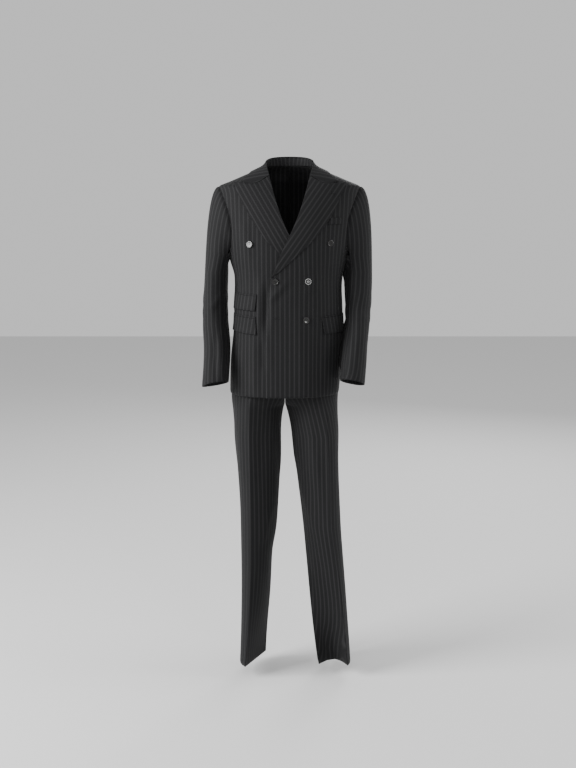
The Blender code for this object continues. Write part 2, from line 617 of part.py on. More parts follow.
def sleeve_at(table, side, angle, z):
    """A point of a sleeve at a true angle round it: 0 is the outer side, 90 the front."""
    outer, inner = table("outer", z), table("inner", z)
    sine, cosine = turn(angle)
    out = 0.0
    for fold in SLEEVE_FOLDS:
        off = (angle - fold["angle"] + 180) % 360 - 180
        off /= fold["wide"]
        rise = (z - fold["z"]) / fold["long"]
        out += fold["out"] * math.exp(-off * off - rise * rise)
    half, deep = abs(outer - inner) / 2, table("deep", z) / 2
    x = (outer + inner) / 2 + side * (half + out * abs(cosine)) * signed_power(cosine, 0.92)
    y = table("mid", z) - (deep + out * abs(sine)) * signed_power(sine, 0.92)
    return np.array((x, y, z - table("drop", z) * (cosine + 1) / 2 + table("rise", z) * sine / 2))


def sleeve_point(table, side, step, row):
    """A point of a sleeve: row 0 is the armhole, 1 the first level ring and 2 the cuff."""
    if row > 1:
        return sleeve_ring(table, side, step, mix(SLEEVE_RING_Z, CUFF_Z[side], row - 1))
    sine, cosine = turn(step)
    reach = ARM_FRONT if sine > 0 else ARM_BACK
    middle, half = (SHOULDER_Z + UNDERARM_Z) / 2, (SHOULDER_Z - UNDERARM_Z) / 2
    start = body(side * (90 - reach * SLEEVE_START * sine), middle + half * SLEEVE_START * cosine)
    end = sleeve_ring(table, side, step, SLEEVE_RING_Z)
    top = (1 + cosine) / 2
    pull = np.array((mix(0.52, 0.80, top), 0.5, mix(0.45, 0.02, top)))
    out = 0.0050 * (1 - top) ** 2 + HEAD_OUT[side] * top
    control = start + (end - start) * pull + np.array((side * out, 0, HEAD_UP * top))
    return start * (1 - row) ** 2 + control * 2 * row * (1 - row) + end * row * row


def sleeve(table, side, cloth):
    """A two-piece sleeve: the upper sleeve over the arm and the under sleeve beneath it."""
    rows = [0.0, 0.10, 0.26, 0.48, 0.74, 1.0] + [1 + i / 9 for i in range(1, 10)]
    upper = list(reversed([360 - step for step in ARM_STEPS[1:]])) + list(ARM_STEPS)
    under = list(UNDERARM_STEPS)
    label = "left" if side > 0 else "right"

    def surface(step, row):
        return sleeve_point(table, side, step % 360, row)

    def away(step, row):
        if row <= 1:
            _, cosine = turn(step)
            bottom = sleeve_ring(table, side, 180, SLEEVE_RING_Z)
            top = sleeve_ring(table, side, 0, SLEEVE_RING_Z)
            centre = mix(np.array((side * 0.205, 0.0, -0.20)), (bottom + top) / 2, row)
            return surface(step, row) - centre
        z = mix(SLEEVE_RING_Z, CUFF_Z[side], row - 1)
        middle = (table("outer", z) + table("inner", z)) / 2
        return surface(step, row) - np.array((middle, table("mid", z), z))

    for name, steps in (("upper_sleeve_", upper), ("under_sleeve_", under)):
        outer, normals = [], grid_normals(surface, steps, rows, 1.2, 0.01, away)
        for row in rows:
            line = [surface(step, row) for step in steps]
            first, last = line[1] - line[0], line[-2] - line[-1]
            line[0] = line[0] + first / np.linalg.norm(first) * SEAM * 0.7
            line[-1] = line[-1] + last / np.linalg.norm(last) * SEAM * 0.7
            outer.append(line)
        wall(name + label, outer, normals, cloth)


def arc(first, second, bulge, part, side):
    """A point on the rounded run of cloth between two lines of a trouser leg."""
    chord = second - first
    out = np.array((chord[1], -chord[0])) * side
    control = (first + second) / 2 + out * bulge
    return first * (1 - part) ** 2 + control * 2 * part * (1 - part) + second * part * part


def leg_point(table, side, where, z, front=True):
    """A point of a trouser leg: where runs from the side seam (0) over the crease (1) to the
    inner line (2), round the front or the back."""
    seam = np.array((table("side_x", z), table("side_y", z)))
    if front:
        crease = np.array((table("crease_x", z), table("crease_y", z)))
        inner = np.array((table("inner_x", z), table("front_y", z)))
        bulges, turned = (0.30, table("curve", z)), -side
    else:
        crease = np.array((table("back_x", z), table("seat_y", z)))
        inner = np.array((table("inner_x", z), table("back_y", z)))
        bulges, turned = (0.33, 0.30 * smooth(-0.62, -0.78, z) + 0.04), side
    if where <= 1:
        x, y = arc(seam, crease, -bulges[0], where, -turned)
    else:
        x, y = arc(crease, inner, -bulges[1], where - 1, -turned)
    return np.array((x, y, z))


def leg_centre(table, side, z):
    """The middle of a leg, for telling out from in."""
    x = mix(table("side_x", z), table("inner_x", z), 0.5)
    return np.array((x, (table("crease_y", z) + table("seat_y", z)) / 2, z))


def trouser_panel(table, side, front, cloth):
    """A trouser front or back, from the waistband to the hem."""
    spans = [i / 4 for i in range(9)]
    outer, normals = [], []
    for z in TROUSER_LEVELS:
        centre = leg_centre(table, side, z)
        line, turned = [], []
        for where in spans:
            point = leg_point(table, side, where, z, front)
            if where == 1.0:
                before = leg_point(table, side, 0.94, z, front)
                after = leg_point(table, side, 1.06, z, front)
            else:
                low, high = max(where - 0.05, 0.0 if where < 1 else 1.001), min(where + 0.05, 2.0)
                before = leg_point(table, side, low, z, front)
                after = leg_point(table, side, high, z, front)
            if where == 0.0:
                before = leg_point(table, side, 0.05, z, not front)
            if where == 2.0 and z < CROTCH_Z:
                after = leg_point(table, side, 1.95, z, not front)
            along = leg_point(table, side, where, z + 0.004, front)
            along = along - leg_point(table, side, where, z - 0.004, front)
            normal = np.cross(after - before, along)
            normal /= np.linalg.norm(normal)
            away = np.array((*(point - centre)[:2], 0.0))
            if where == 2.0 and z >= CROTCH_Z:
                away = np.array((-side * 0.3, -1.0 if front else 1.0, -0.2))
            if np.dot(normal, away) < 0:
                normal = -normal
            line.append(point)
            turned.append(normal)
        first, last = line[1] - line[0], line[-2] - line[-1]
        line[0] = line[0] + first / np.linalg.norm(first) * SEAM / 2
        line[-1] = line[-1] + last / np.linalg.norm(last) * SEAM / 2
        if z >= CROTCH_Z:
            line[-1][0] = table("inner_x", z) + side * SEAM / 2
            turned[-1][0] = min(turned[-1][0] * side, 0.0) * side
            turned[-1] /= np.linalg.norm(turned[-1])
        outer.append(line)
        normals.append(turned)
    name = "trouser_front_" if front else "trouser_back_"
    return wall(name + ("left" if side > 0 else "right"), outer, normals, cloth)


def waistband(cloth):
    """The waistband: one strip round the waist, fastened at the centre front."""
    runs = (
        (TROUSER_LEFT, 1, True, (2.0, 1.6, 1.2, 0.8, 0.4)),
        (TROUSER_LEFT, 1, False, (0.0, 0.4, 0.8, 1.2, 1.6)),
        (TROUSER_RIGHT, -1, False, (2.0, 1.6, 1.2, 0.8, 0.4)),
        (TROUSER_RIGHT, -1, True, (0.0, 0.4, 0.8, 1.2, 1.6, 2.0)),
    )
    outer, normals = [], []
    for z in (WAIST_Z, WAIST_Z - BAND):
        line = [leg_point(table, side, where, z, front)
                for table, side, front, spots in runs for where in spots]
        line[0] = line[0] + np.array((SEAM / 2, 0, 0))
        line[-1] = line[-1] - np.array((SEAM / 2, 0, 0))
        middle = sum(line) / len(line)
        turned = []
        for place, point in enumerate(line):
            before, after = line[max(place - 1, 0)], line[min(place + 1, len(line) - 1)]
            normal = np.cross(after - before, np.array((0, 0, 1.0)))
            if np.dot(normal, point - middle) < 0:
                normal = -normal
            turned.append(normal / np.linalg.norm(normal))
        outer.append(line)
        normals.append(turned)
    return wall("waistband", outer, normals, cloth)


def flap(name, side, corners, cloth, height=None):
    """A pocket flap or jet on the front: its inner edge's x at the top and bottom, the angle
    of its outer edge, and the heights of its inner and outer ends."""
    inner_top, inner_low, outer_angle_, top_in, low_in, top_out, low_out = corners
    cols, rows = 9, 3 if height is None else 1
    grid = []
    for i in range(rows + 1):
        v = i / rows
        line = []
        for j in range(cols + 1):
            u = j / cols
            z = mix(mix(top_in, top_out, u), mix(low_in, low_out, u), v)
            start = angle_of(side * mix(inner_top, inner_low, v), z)
            line.append((mix(start, side * outer_angle_, u), z))
        grid.append(line)

    def out(x, z, row, col):
        hang = 0.0022 * row * row if height is None else 0.0
        return (LAPPED if height is None else height) + hang + (lift(x, z) if side > 0 else 0)

    return panel(name, grid, cloth, out, CLOTH if height is None else height - LAY)


# Pocket flaps: x of the inner edge at the top and bottom, angle of the outer edge, and heights
FLAPS = (
    ("flap_hip_left", 1, (0.1016, 0.1110, 80, -0.4745, -0.5275, -0.4720, -0.5215)),
    ("flap_hip_right", -1, (0.1073, 0.1057, 80, -0.4770, -0.5290, -0.4720, -0.5215)),
    ("flap_ticket", -1, (0.1039, 0.1092, 77, -0.4060, -0.4530, -0.4030, -0.4500)),
)
JET = 0.0050
JET_OUT = 0.0020
WELT_TOP = -0.1600
WELT_LOW = -0.1810
WELT_ANGLE = 52.0


def pockets(cloth):
    """The flaps, the jet that each hangs from, and the breast pocket's welt."""
    for name, side, corners in FLAPS:
        flap(name, side, corners, cloth)
        top_in, top_out = corners[3] + SEAM, corners[5] + SEAM
        jet = (corners[0], corners[0], corners[2], top_in + JET, top_in, top_out + JET, top_out)
        flap(name.replace("flap", "jet"), side, jet, cloth, JET_OUT)
    grid = []
    for i in range(3):
        z = mix(WELT_TOP, WELT_LOW, i / 2)
        start = angle_of(mix(0.1315, 0.1190, i / 2), z)
        stop = angle_of(0.1630, z)
        grid.append([(mix(start, stop, j / 4), z) for j in range(5)])
    panel("breast_welt", grid, cloth, lambda x, z, row, col: LAPPED + lift(x, z), CLOTH)


# A button's profile from its centre to its rim and back, as parts of its diameter
BUTTON_PROFILE = (
    (0.000, 0.085), (0.230, 0.085), (0.330, 0.150), (0.430, 0.165), (0.500, 0.100), (0.440, 0.0),
    (0.000, 0.000),
)


def button(name, diameter, point, normal, steps, raised, material):
    """A turned button with a raised rim and a dished middle, square on the cloth."""
    mesh = bpy.data.meshes.new(name)
    profile = [(part * diameter, 0.0, rise * diameter) for part, rise in BUTTON_PROFILE]
    edges = [(i, i + 1) for i in range(len(profile) - 1)]
    mesh.from_pydata(profile, edges, [])
    piece = bpy.data.objects.new(name, mesh)
    SUIT.objects.link(piece)
    screw = piece.modifiers.new("Turned", "SCREW")
    screw.steps = screw.render_steps = steps
    screw.use_merge_vertices = True
    screw.merge_threshold = 0.00005
    screw.use_smooth_shade = True
    mesh.materials.append(material)
    z_axis = normal / np.linalg.norm(normal)
    x_axis = np.cross(np.array((0, 0, 1.0)), z_axis)
    x_axis /= np.linalg.norm(x_axis)
    y_axis = np.cross(z_axis, x_axis)
    place = np.eye(4)
    place[:3, 0], place[:3, 1], place[:3, 2] = x_axis, y_axis, z_axis
    place[:3, 3] = point + z_axis * raised
    piece.matrix_world = Matrix(place.tolist())
    return piece


# Front buttons: name, x and height, and whether it sits on the lapped left front
FRONT_BUTTONS = (
    ("button_upper_right", -0.1255, -0.2425, False),
    ("button_upper_left", 0.1276, -0.2390, True),
    ("button_middle_right", -0.0440, -0.3585, True),
    ("button_middle_left", 0.0568, -0.3575, True),
    ("button_lower_left", 0.0521, -0.4806, True),
)
SLEEVE_BUTTONS = 4
SLEEVE_BUTTON_TOP = 0.0790  # height of the top button over the cuff's edge
SLEEVE_BUTTON_PITCH = 0.0162
SLEEVE_BUTTON_TURN = 15.0   # degrees from the hindarm seam


def buttons(material):
    """The front's and the sleeves' buttons."""
    for name, x, z, lapped in FRONT_BUTTONS:
        angle = angle_of(x, z)
        out = lift(x, z) if lapped else 0.0
        point = body(angle, z) + body_normal(angle, z) * out
        button(name, FRONT_BUTTON, point, body_normal(angle, z), 12, 0.0004, material)
    for table, side, label in ((SLEEVE_LEFT, 1, "left"), (SLEEVE_RIGHT, -1, "right")):
        for place in range(SLEEVE_BUTTONS):
            z = CUFF_Z[side] + SLEEVE_BUTTON_TOP - place * SLEEVE_BUTTON_PITCH
            angle = table("hind", z) + SLEEVE_BUTTON_TURN

            def at(turned, height):
                return sleeve_at(table, side, turned, height)

            point = at(angle, z)
            round_it = at(angle + 2, z) - at(angle - 2, z)
            normal = np.cross(round_it, at(angle, z + 0.004) - at(angle, z - 0.004))
            normal *= math.copysign(1.0, normal[0] * side)
            name = f"button_sleeve_{label}_{place + 1}"
            button(name, SLEEVE_BUTTON, point, normal, 8, 0.0010, material)


for thing in list(bpy.data.objects):
    bpy.data.objects.remove(thing, do_unlink=True)
SUIT = bpy.data.collections.new("double_breasted_suit")
bpy.context.scene.collection.children.link(SUIT)
WORSTED = paint("worsted", CHARCOAL, 0.85)
BUTTON_HORN = paint("button_horn", HORN, 0.30)
for SIDE in (1, -1):
    front_panel(SIDE, WORSTED)
    side_panel(SIDE, WORSTED)
    back_panel(SIDE, WORSTED)
    lapel(SIDE, WORSTED)
collar(WORSTED)
sleeve(SLEEVE_LEFT, 1, WORSTED)
sleeve(SLEEVE_RIGHT, -1, WORSTED)
pockets(WORSTED)
for FRONT in (True, False):
    trouser_panel(TROUSER_LEFT, 1, FRONT, WORSTED)
    trouser_panel(TROUSER_RIGHT, -1, FRONT, WORSTED)
waistband(WORSTED)
buttons(BUTTON_HORN)
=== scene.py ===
"""A double-breasted suit in charcoal pinstripe, jacket and trousers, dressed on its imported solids."""

import math

import bmesh
import bpy
import numpy as np
from mathutils import Matrix, Vector
from mathutils.bvhtree import BVHTree
from mathutils.kdtree import KDTree


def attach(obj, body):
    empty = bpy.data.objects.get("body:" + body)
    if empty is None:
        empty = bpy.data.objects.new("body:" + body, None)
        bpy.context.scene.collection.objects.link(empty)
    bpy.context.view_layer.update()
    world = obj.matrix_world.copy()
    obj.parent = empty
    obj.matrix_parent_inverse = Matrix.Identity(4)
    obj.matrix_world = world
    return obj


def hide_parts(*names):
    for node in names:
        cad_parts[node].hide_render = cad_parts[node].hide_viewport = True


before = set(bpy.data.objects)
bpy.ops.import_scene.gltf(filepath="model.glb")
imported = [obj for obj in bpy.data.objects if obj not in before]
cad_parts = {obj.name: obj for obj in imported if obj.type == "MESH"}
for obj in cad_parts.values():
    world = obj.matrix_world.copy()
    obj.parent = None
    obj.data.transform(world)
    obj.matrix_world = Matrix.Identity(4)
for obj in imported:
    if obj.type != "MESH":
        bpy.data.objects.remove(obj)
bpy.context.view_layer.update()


# Camera
# It stands level with the collar, 3.85 m in front, and looks ten degrees down.
camera_data = bpy.data.cameras.new("camera")
camera_data.sensor_width = 36.0
camera_data.lens = 36.0 * 1185 / 768    # a focal length of 1185 in a picture 768 high
camera = bpy.data.objects.new("camera", camera_data)
camera.location = (-0.005, -3.85, -0.025)
camera.rotation_euler = (math.radians(90 - 10.05), 0, 0)
bpy.context.scene.collection.objects.link(camera)
bpy.context.scene.camera = camera


# Jacket body
# Two fronts, two side bodies and two back halves of striped worsted, one layer each here, joined by
# the front dart line, the side seams and the centre seam. The left front laps over the right.
CLOTH = 0.0016              # its thickness
TWILL = 0.0011              # from one slanting rib of the weave to the next
STRIPE_SPACING = 0.0148     # the stripes lie on each piece as it was cut
STRIPE_WIDTH = 0.0024
CHARCOAL = (0.0088, 0.0088, 0.0094, 1)
DARK_CHARCOAL = (0.0062, 0.0062, 0.0067, 1)
STRIPE = (0.0180, 0.0180, 0.0188, 1)
# the colour of the painted shade along the seams
SEAM_SHADE = (0.0030, 0.0030, 0.0032, 1)
THREAD = (0.0048, 0.0048, 0.0051, 1)
STITCH = 0.0046             # from one hand stitch to the next
STITCH_ROW = 0.0055         # how far the row lies from the edge
STITCH_WIDTH = 0.0007
WALL = 0.002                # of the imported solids
SEAM_LINE = 0.0016          # how far the shade of a seam reaches
SEAM_DEPTH = 0.0009         # how far a seam draws the cloth in
SEAM_WIDTH = 0.0035         # and how far from it that reaches
BODY_MIDDLE = (0.0, 0.0)
# the creases: the side that they are seen from, the line's start, its end, its width, its height
BODY_FOLDS = (
    ("front", (-0.070, -0.390), (-0.078, -0.520), 0.0090, -0.0038),
    ("front", (-0.090, -0.360), (-0.097, -0.500), 0.0110, 0.0030),
    ("front", (-0.012, -0.362), (-0.064, -0.420), 0.0100, 0.0026),
    ("front", (-0.085, -0.550), (-0.082, -0.640), 0.0090, -0.0030),
    ("front", (-0.115, -0.545), (-0.112, -0.715), 0.0130, 0.0030),
    ("front", (-0.143, -0.330), (-0.128, -0.395), 0.0120, 0.0020),
    ("front", (-0.146, -0.180), (-0.130, -0.300), 0.0150, 0.0022),
    ("front", (0.030, -0.480), (0.042, -0.700), 0.0180, 0.0018),
    ("front", (0.096, -0.520), (0.090, -0.690), 0.0170, -0.0022),
    ("front", (0.100, -0.340), (0.052, -0.395), 0.0130, 0.0020),
    ("front", (0.136, -0.190), (0.122, -0.300), 0.0150, 0.0020),
    ("front", (0.070, -0.300), (0.090, -0.460), 0.0180, 0.0016),
    ("left", (-0.020, -0.340), (0.016, -0.470), 0.0150, 0.0008),
    ("left", (0.040, -0.560), (0.030, -0.700), 0.0170, 0.0024),
    ("right", (-0.030, -0.350), (0.010, -0.460), 0.0140, 0.0030),
    ("right", (0.032, -0.540), (0.044, -0.705), 0.0180, 0.0026),
    ("back", (-0.150, -0.170), (-0.136, -0.330), 0.0150, 0.0044),
    ("back", (0.152, -0.180), (0.140, -0.320), 0.0140, 0.0038),
    ("back", (-0.120, -0.400), (-0.040, -0.455), 0.0130, 0.0034),
    ("back", (0.116, -0.415), (0.050, -0.450), 0.0120, 0.0028),
    ("back", (-0.060, -0.500), (-0.074, -0.700), 0.0190, 0.0030),
    ("back", (0.070, -0.520), (0.082, -0.690), 0.0170, 0.0034),
    ("back", (-0.070, -0.045), (0.066, -0.052), 0.0130, -0.0016),
)


class Value:
    """A socket that holds a number and takes part in plain sums."""

    def __init__(self, shader, socket):
        self.shader = shader
        self.socket = socket

    def sum(self, operation, *others):
        inputs = {i: other for i, other in enumerate(others)}
        return self.shader.node("ShaderNodeMath", {"operation": operation}, inputs)

    def __add__(self, other):
        return self.sum("ADD", self, other)

    def __radd__(self, other):
        return self.sum("ADD", other, self)

    def __sub__(self, other):
        return self.sum("SUBTRACT", self, other)

    def __rsub__(self, other):
        return self.sum("SUBTRACT", other, self)

    def __mul__(self, other):
        return self.sum("MULTIPLY", self, other)

    def __truediv__(self, other):
        return self.sum("DIVIDE", self, other)

    def fraction(self):
        return self.sum("FRACT", self)

    def absolute(self):
        return self.sum("ABSOLUTE", self)

    def sine(self):
        return self.sum("SINE", self)

    def clipped(self):
        return self.sum("MINIMUM", self.sum("MAXIMUM", self, 0.0), 1.0)


class Shader:
    """A material's nodes, made one at a time."""

    def __init__(self, name, roughness, sheen=0.0, specular=0.5):
        self.material = bpy.data.materials.new(name)
        self.material.use_nodes = True
        self.tree = self.material.node_tree
        self.surface = self.tree.nodes["Principled BSDF"]
        self.surface.inputs["Roughness"].default_value = roughness
        self.surface.inputs["Sheen Weight"].default_value = sheen
        self.surface.inputs["Specular IOR Level"].default_value = specular
        self.surface.inputs["Sheen Roughness"].default_value = 0.45

    def node(self, kind, settings, inputs, output=0):
        """Adds a node: its settings first, then what its sockets hold or read."""
        made = self.tree.nodes.new(kind)
        for name, setting in settings.items():
            setattr(made, name, setting)
        for name, value in inputs.items():
            self.link(value, made.inputs[name])
        return Value(self, made.outputs[output])

    def link(self, value, socket):
        if isinstance(value, Value):
            self.tree.links.new(value.socket, socket)
        else:
            socket.default_value = value

    def noise(self, vector, scale, detail=2.0):
        return self.node("ShaderNodeTexNoise", {}, {"Vector": vector, "Scale": scale, "Detail": detail})

    def stretched(self, vector, scale):
        return self.node("ShaderNodeMapping", {}, {"Vector": vector, "Scale": scale})

    def mixed(self, part, first, second):
        """Two colours mixed by a number from 0 to 1."""
        inputs = {"Factor": part, 6: first, 7: second}
        return self.node("ShaderNodeMix", {"data_type": "RGBA"}, inputs, output=2)

    def finish(self, colour, roughness, height, strength, distance):
        self.link(colour, self.surface.inputs["Base Color"])
        self.link(roughness, self.surface.inputs["Roughness"])
        inputs = {"Strength": strength, "Distance": distance, "Height": height}
        self.link(self.node("ShaderNodeBump", {}, inputs), self.surface.inputs["Normal"])
        return self.material


def worsted(name, stitched):
    """The cloth, a fine twill in charcoal with soft paler stripes woven in. It reads the piece's
    own map, across the stripes and along them, and how far a place is from the piece's edge. A
    stitched piece has a row of small hand stitches just inside its edge."""
    shader = Shader(name, 0.7, sheen=0.04, specular=0.12)
    grain = shader.node("ShaderNodeUVMap", {"uv_map": "grain"}, {})
    across = shader.node("ShaderNodeSeparateXYZ", {}, {"Vector": grain})
    along = shader.node("ShaderNodeSeparateXYZ", {}, {"Vector": grain}, output=1)
    rim = shader.node("ShaderNodeAttribute", {"attribute_name": "from_edge"}, {}, output=2)

    twill = ((across + along * 0.8) * (2 * math.pi / TWILL)).sine() * 0.5 + 0.5
    fibres = shader.noise(shader.stretched(grain, (2400, 700, 1)), 1.0)
    melange = shader.noise(shader.stretched(grain, (420, 160, 1)), 1.0, 3.0)
    cloudy = shader.noise(grain, 9.0)

    from_line = (((across / STRIPE_SPACING) + 0.5).fraction() - 0.5).absolute() * STRIPE_SPACING
    line = (1.35 - from_line / STRIPE_WIDTH).clipped()
    broken = (melange * 0.9 + twill * 0.25 + 0.42).clipped()
    stripe = line * broken

    dark = shader.mixed((cloudy * 0.5 + fibres * 0.7 - 0.1).clipped(), DARK_CHARCOAL, CHARCOAL)
    colour = shader.mixed(stripe, dark, STRIPE)
    # painted shade: the cloth is darkened towards each piece's edge, where the seam's crease lies in shade
    seam = (1 - rim / SEAM_LINE).clipped()
    colour = shader.mixed(seam * 0.55, colour, SEAM_SHADE)
    height = twill * 0.25 + fibres * 0.5 + cloudy * 0.4
    if stitched:
        row = (1 - (rim - STITCH_ROW).absolute() / STITCH_WIDTH).clipped()
        dash = ((across + along) * (2 * math.pi / STITCH)).sine().clipped()
        colour = shader.mixed(row * dash * 0.6, colour, THREAD)
        height = height - row * (0.6 + dash)
    return shader.finish(colour, 0.66 + fibres * 0.14, height, 0.55, 0.0004)


CLOTH_PLAIN = worsted("worsted", False)
CLOTH_STITCHED = worsted("worsted_stitched", True)


def outer_face(node, middle, wall=WALL):
    """A new piece with the outer face of a packed wall, in four-sided faces. The wall's rim is
    found by its thickness, and the outer face is the one that looks away from the middle."""
    mesh = bmesh.new()
    mesh.from_mesh(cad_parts[node].data)
    bmesh.ops.remove_doubles(mesh, verts=mesh.verts, dist=0.00005)
    rim = [f for f in mesh.faces if any(abs(e.calc_length() - wall) < wall * 0.03 for e in f.edges)]
    bmesh.ops.delete(mesh, geom=rim, context="FACES")
    left = set(mesh.faces)
    sheets = []
    while left:
        waiting = [left.pop()]
        sheet = []
        while waiting:
            face = waiting.pop()
            sheet.append(face)
            near = [other for edge in face.edges for other in edge.link_faces if other in left]
            for other in near:
                if other in left:
                    left.remove(other)
                    waiting.append(other)
        sheets.append(sheet)

    def outward(sheet):
        total = 0.0
        for face in sheet:
            centre = face.calc_center_median()
            total += face.calc_area() * face.normal.dot(centre - middle(centre))
        return total

    mesh.normal_update()
    kept = set(max(sheets, key=outward))
    bmesh.ops.delete(mesh, geom=[face for face in mesh.faces if face not in kept], context="FACES")
    bmesh.ops.join_triangles(
        mesh, faces=list(mesh.faces), angle_face_threshold=math.pi,
        angle_shape_threshold=math.pi, topology_influence=1.0)
    data = bpy.data.meshes.new("cloth_" + node)
    mesh.to_mesh(data)
    mesh.free()
    piece = bpy.data.objects.new("cloth_" + node, data)
    bpy.context.scene.collection.objects.link(piece)
    return piece


def apply_modifier(piece, kind, **settings):
    """Gives a piece one modifier and applies it."""
    bpy.ops.object.select_all(action="DESELECT")
    bpy.context.view_layer.objects.active = piece
    piece.select_set(True)
    modifier = piece.modifiers.new("shape", kind)
    for name, setting in settings.items():
        setattr(modifier, name, setting)
    bpy.ops.object.modifier_apply(modifier=modifier.name)


def finer(piece, levels=3):
    """Rounds a piece's faces into a fine smooth sheet that keeps its corners."""
    apply_modifier(
        piece, "SUBSURF", levels=levels, render_levels=levels, boundary_smooth="PRESERVE_CORNERS",
        use_limit_surface=False)


def points_of(piece):
    points = np.empty(len(piece.data.vertices) * 3, np.float32)
    piece.data.vertices.foreach_get("co", points)
    return points.reshape(-1, 3).astype(float)


def normals_of(piece):
    normals = np.empty(len(piece.data.vertices) * 3, np.float32)
    piece.data.vertex_normals.foreach_get("vector", normals)
    return normals.reshape(-1, 3).astype(float)


def put_points(piece, points):
    piece.data.vertices.foreach_set("co", points.astype(np.float32).ravel())
    piece.data.update()


def edge_points(piece):
    """Which points lie on a sheet's own edge."""
    count = np.zeros(len(piece.data.edges), int)
    edges = np.empty(len(piece.data.edges) * 2, np.int32)
    piece.data.edges.foreach_get("vertices", edges)
    loops = np.empty(len(piece.data.loops), np.int32)
    piece.data.loops.foreach_get("edge_index", loops)
    np.add.at(count, loops, 1)
    return np.unique(edges.reshape(-1, 2)[count == 1])


def from_edge(piece):
    """Each point's distance from the nearest point of the sheet's edge."""
    points = points_of(piece)
    rim = edge_points(piece)
    tree = KDTree(len(rim))
    for index in rim:
        tree.insert(points[index], int(index))
    tree.balance()
    return np.array([tree.find(point)[2] for point in points])


def within(value):
    """A number kept between 0 and 1."""
    return np.clip(value, 0, 1)


def eased(part):
    """A share from 0 to 1 that starts and ends softly."""
    return part * part * (3 - 2 * part)


# for each side that a piece is seen from: the axis across the picture, the axis that looks at the
# eye, and which way it points
LOOKS = {"front": (0, 1, -1), "back": (0, 1, 1), "left": (1, 0, 1), "right": (1, 0, -1)}


def creased(piece, folds):
    """Raises soft ridges and sinks soft troughs along straight lines seen from one side. A row
    has the side, the line's two ends (across, up), its width and its height, all in metres."""
    points = points_of(piece)
    normals = normals_of(piece)
    rise = np.zeros(len(points))
    for side, start, end, wide, high in folds:
        column, facing, sign = LOOKS[side]
        flat = points[:, (column, 2)]
        start, end = np.array(start), np.array(end)
        run = end - start
        long = np.linalg.norm(run)
        run = run / long
        along = (flat - start) @ run
        off = ((flat - start) @ np.array((-run[1], run[0]))) / wide
        part = along / long
        fade = eased(within(np.minimum(part + 0.25, 1.25 - part) * 2))
        seen = within(sign * normals[:, facing] * 2.2)
        shape = np.exp(-off ** 2) - 0.45 * np.exp(-((off - 1.9) / 1.3) ** 2)
        rise += high * shape * fade * seen
    put_points(piece, points + normals * rise[:, None])


def sewn(piece, depth=SEAM_DEPTH):
    """Draws a sheet in a little along its seams and keeps the distance from them for its cloth."""
    distance = from_edge(piece)
    points, normals = points_of(piece), normals_of(piece)
    put_points(piece, points - normals * (depth * np.exp(-(distance / SEAM_WIDTH) ** 2))[:, None])
    attribute = piece.data.attributes.new("from_edge", "FLOAT", "POINT")
    attribute.data.foreach_set("value", distance.astype(np.float32))


def tree_of(piece):
    mesh = bmesh.new()
    mesh.from_mesh(piece.data)
    tree = BVHTree.FromBMesh(mesh)
    mesh.free()
    return tree


def ahead_of(piece, others, gap, most=0.005):
    """Moves a sheet's points out so that they lie at least a gap above the sheets under them."""
    trees = [tree_of(other) for other in others]
    points, normals = points_of(piece), normals_of(piece)
    for i, normal in enumerate(normals):
        out = Vector(normal)
        for tree in trees:
            hit = tree.ray_cast(Vector(points[i]) + out * most, -out, most + gap)
            if hit[0] is not None:
                points[i] += normal * (gap + most - hit[3])
    put_points(piece, points)


def sunk_under(piece, cover, depth, fade):
    """Presses a sheet back where another one lies in front of it, more and more from its edge."""
    tree = tree_of(cover)
    rim = KDTree(len(edge_points(cover)))
    cover_points = points_of(cover)
    for index in edge_points(cover):
        rim.insert(cover_points[index], int(index))
    rim.balance()
    points, normals = points_of(piece), normals_of(piece)
    for i, normal in enumerate(normals):
        out = Vector(normal)
        # the cover counts from 4 mm behind the sheet to 20 mm in front of it
        hit = tree.ray_cast(Vector(points[i]) - out * 0.004, out, 0.024)
        if hit[0] is not None:
            points[i] -= normal * depth * eased(within(rim.find(hit[0])[2] / fade))
    put_points(piece, points)


def meet(pieces, reach=0.0012):
    """Brings the facing edges of sewn sheets together on the line midway between them."""
    trees = [tree_of(piece) for piece in pieces]
    for piece, own in zip(pieces, trees):
        points = points_of(piece)
        for index in edge_points(piece):
            for tree in trees:
                near = None if tree is own else tree.find_nearest(Vector(points[index]), reach)
                if near is not None and near[0] is not None:
                    points[index] = (points[index] + np.array(near[0])) / 2
                    break
        put_points(piece, points)


def map_grain(piece, across, along):
    """Writes the cloth's own map: metres across the stripes and metres along them."""
    layer = piece.data.uv_layers.new(name="grain")
    corners = np.empty(len(piece.data.loops), np.int32)
    piece.data.loops.foreach_get("vertex_index", corners)
    values = np.stack((across[corners], along[corners]), axis=1)
    layer.data.foreach_set("uv", values.astype(np.float32).ravel())


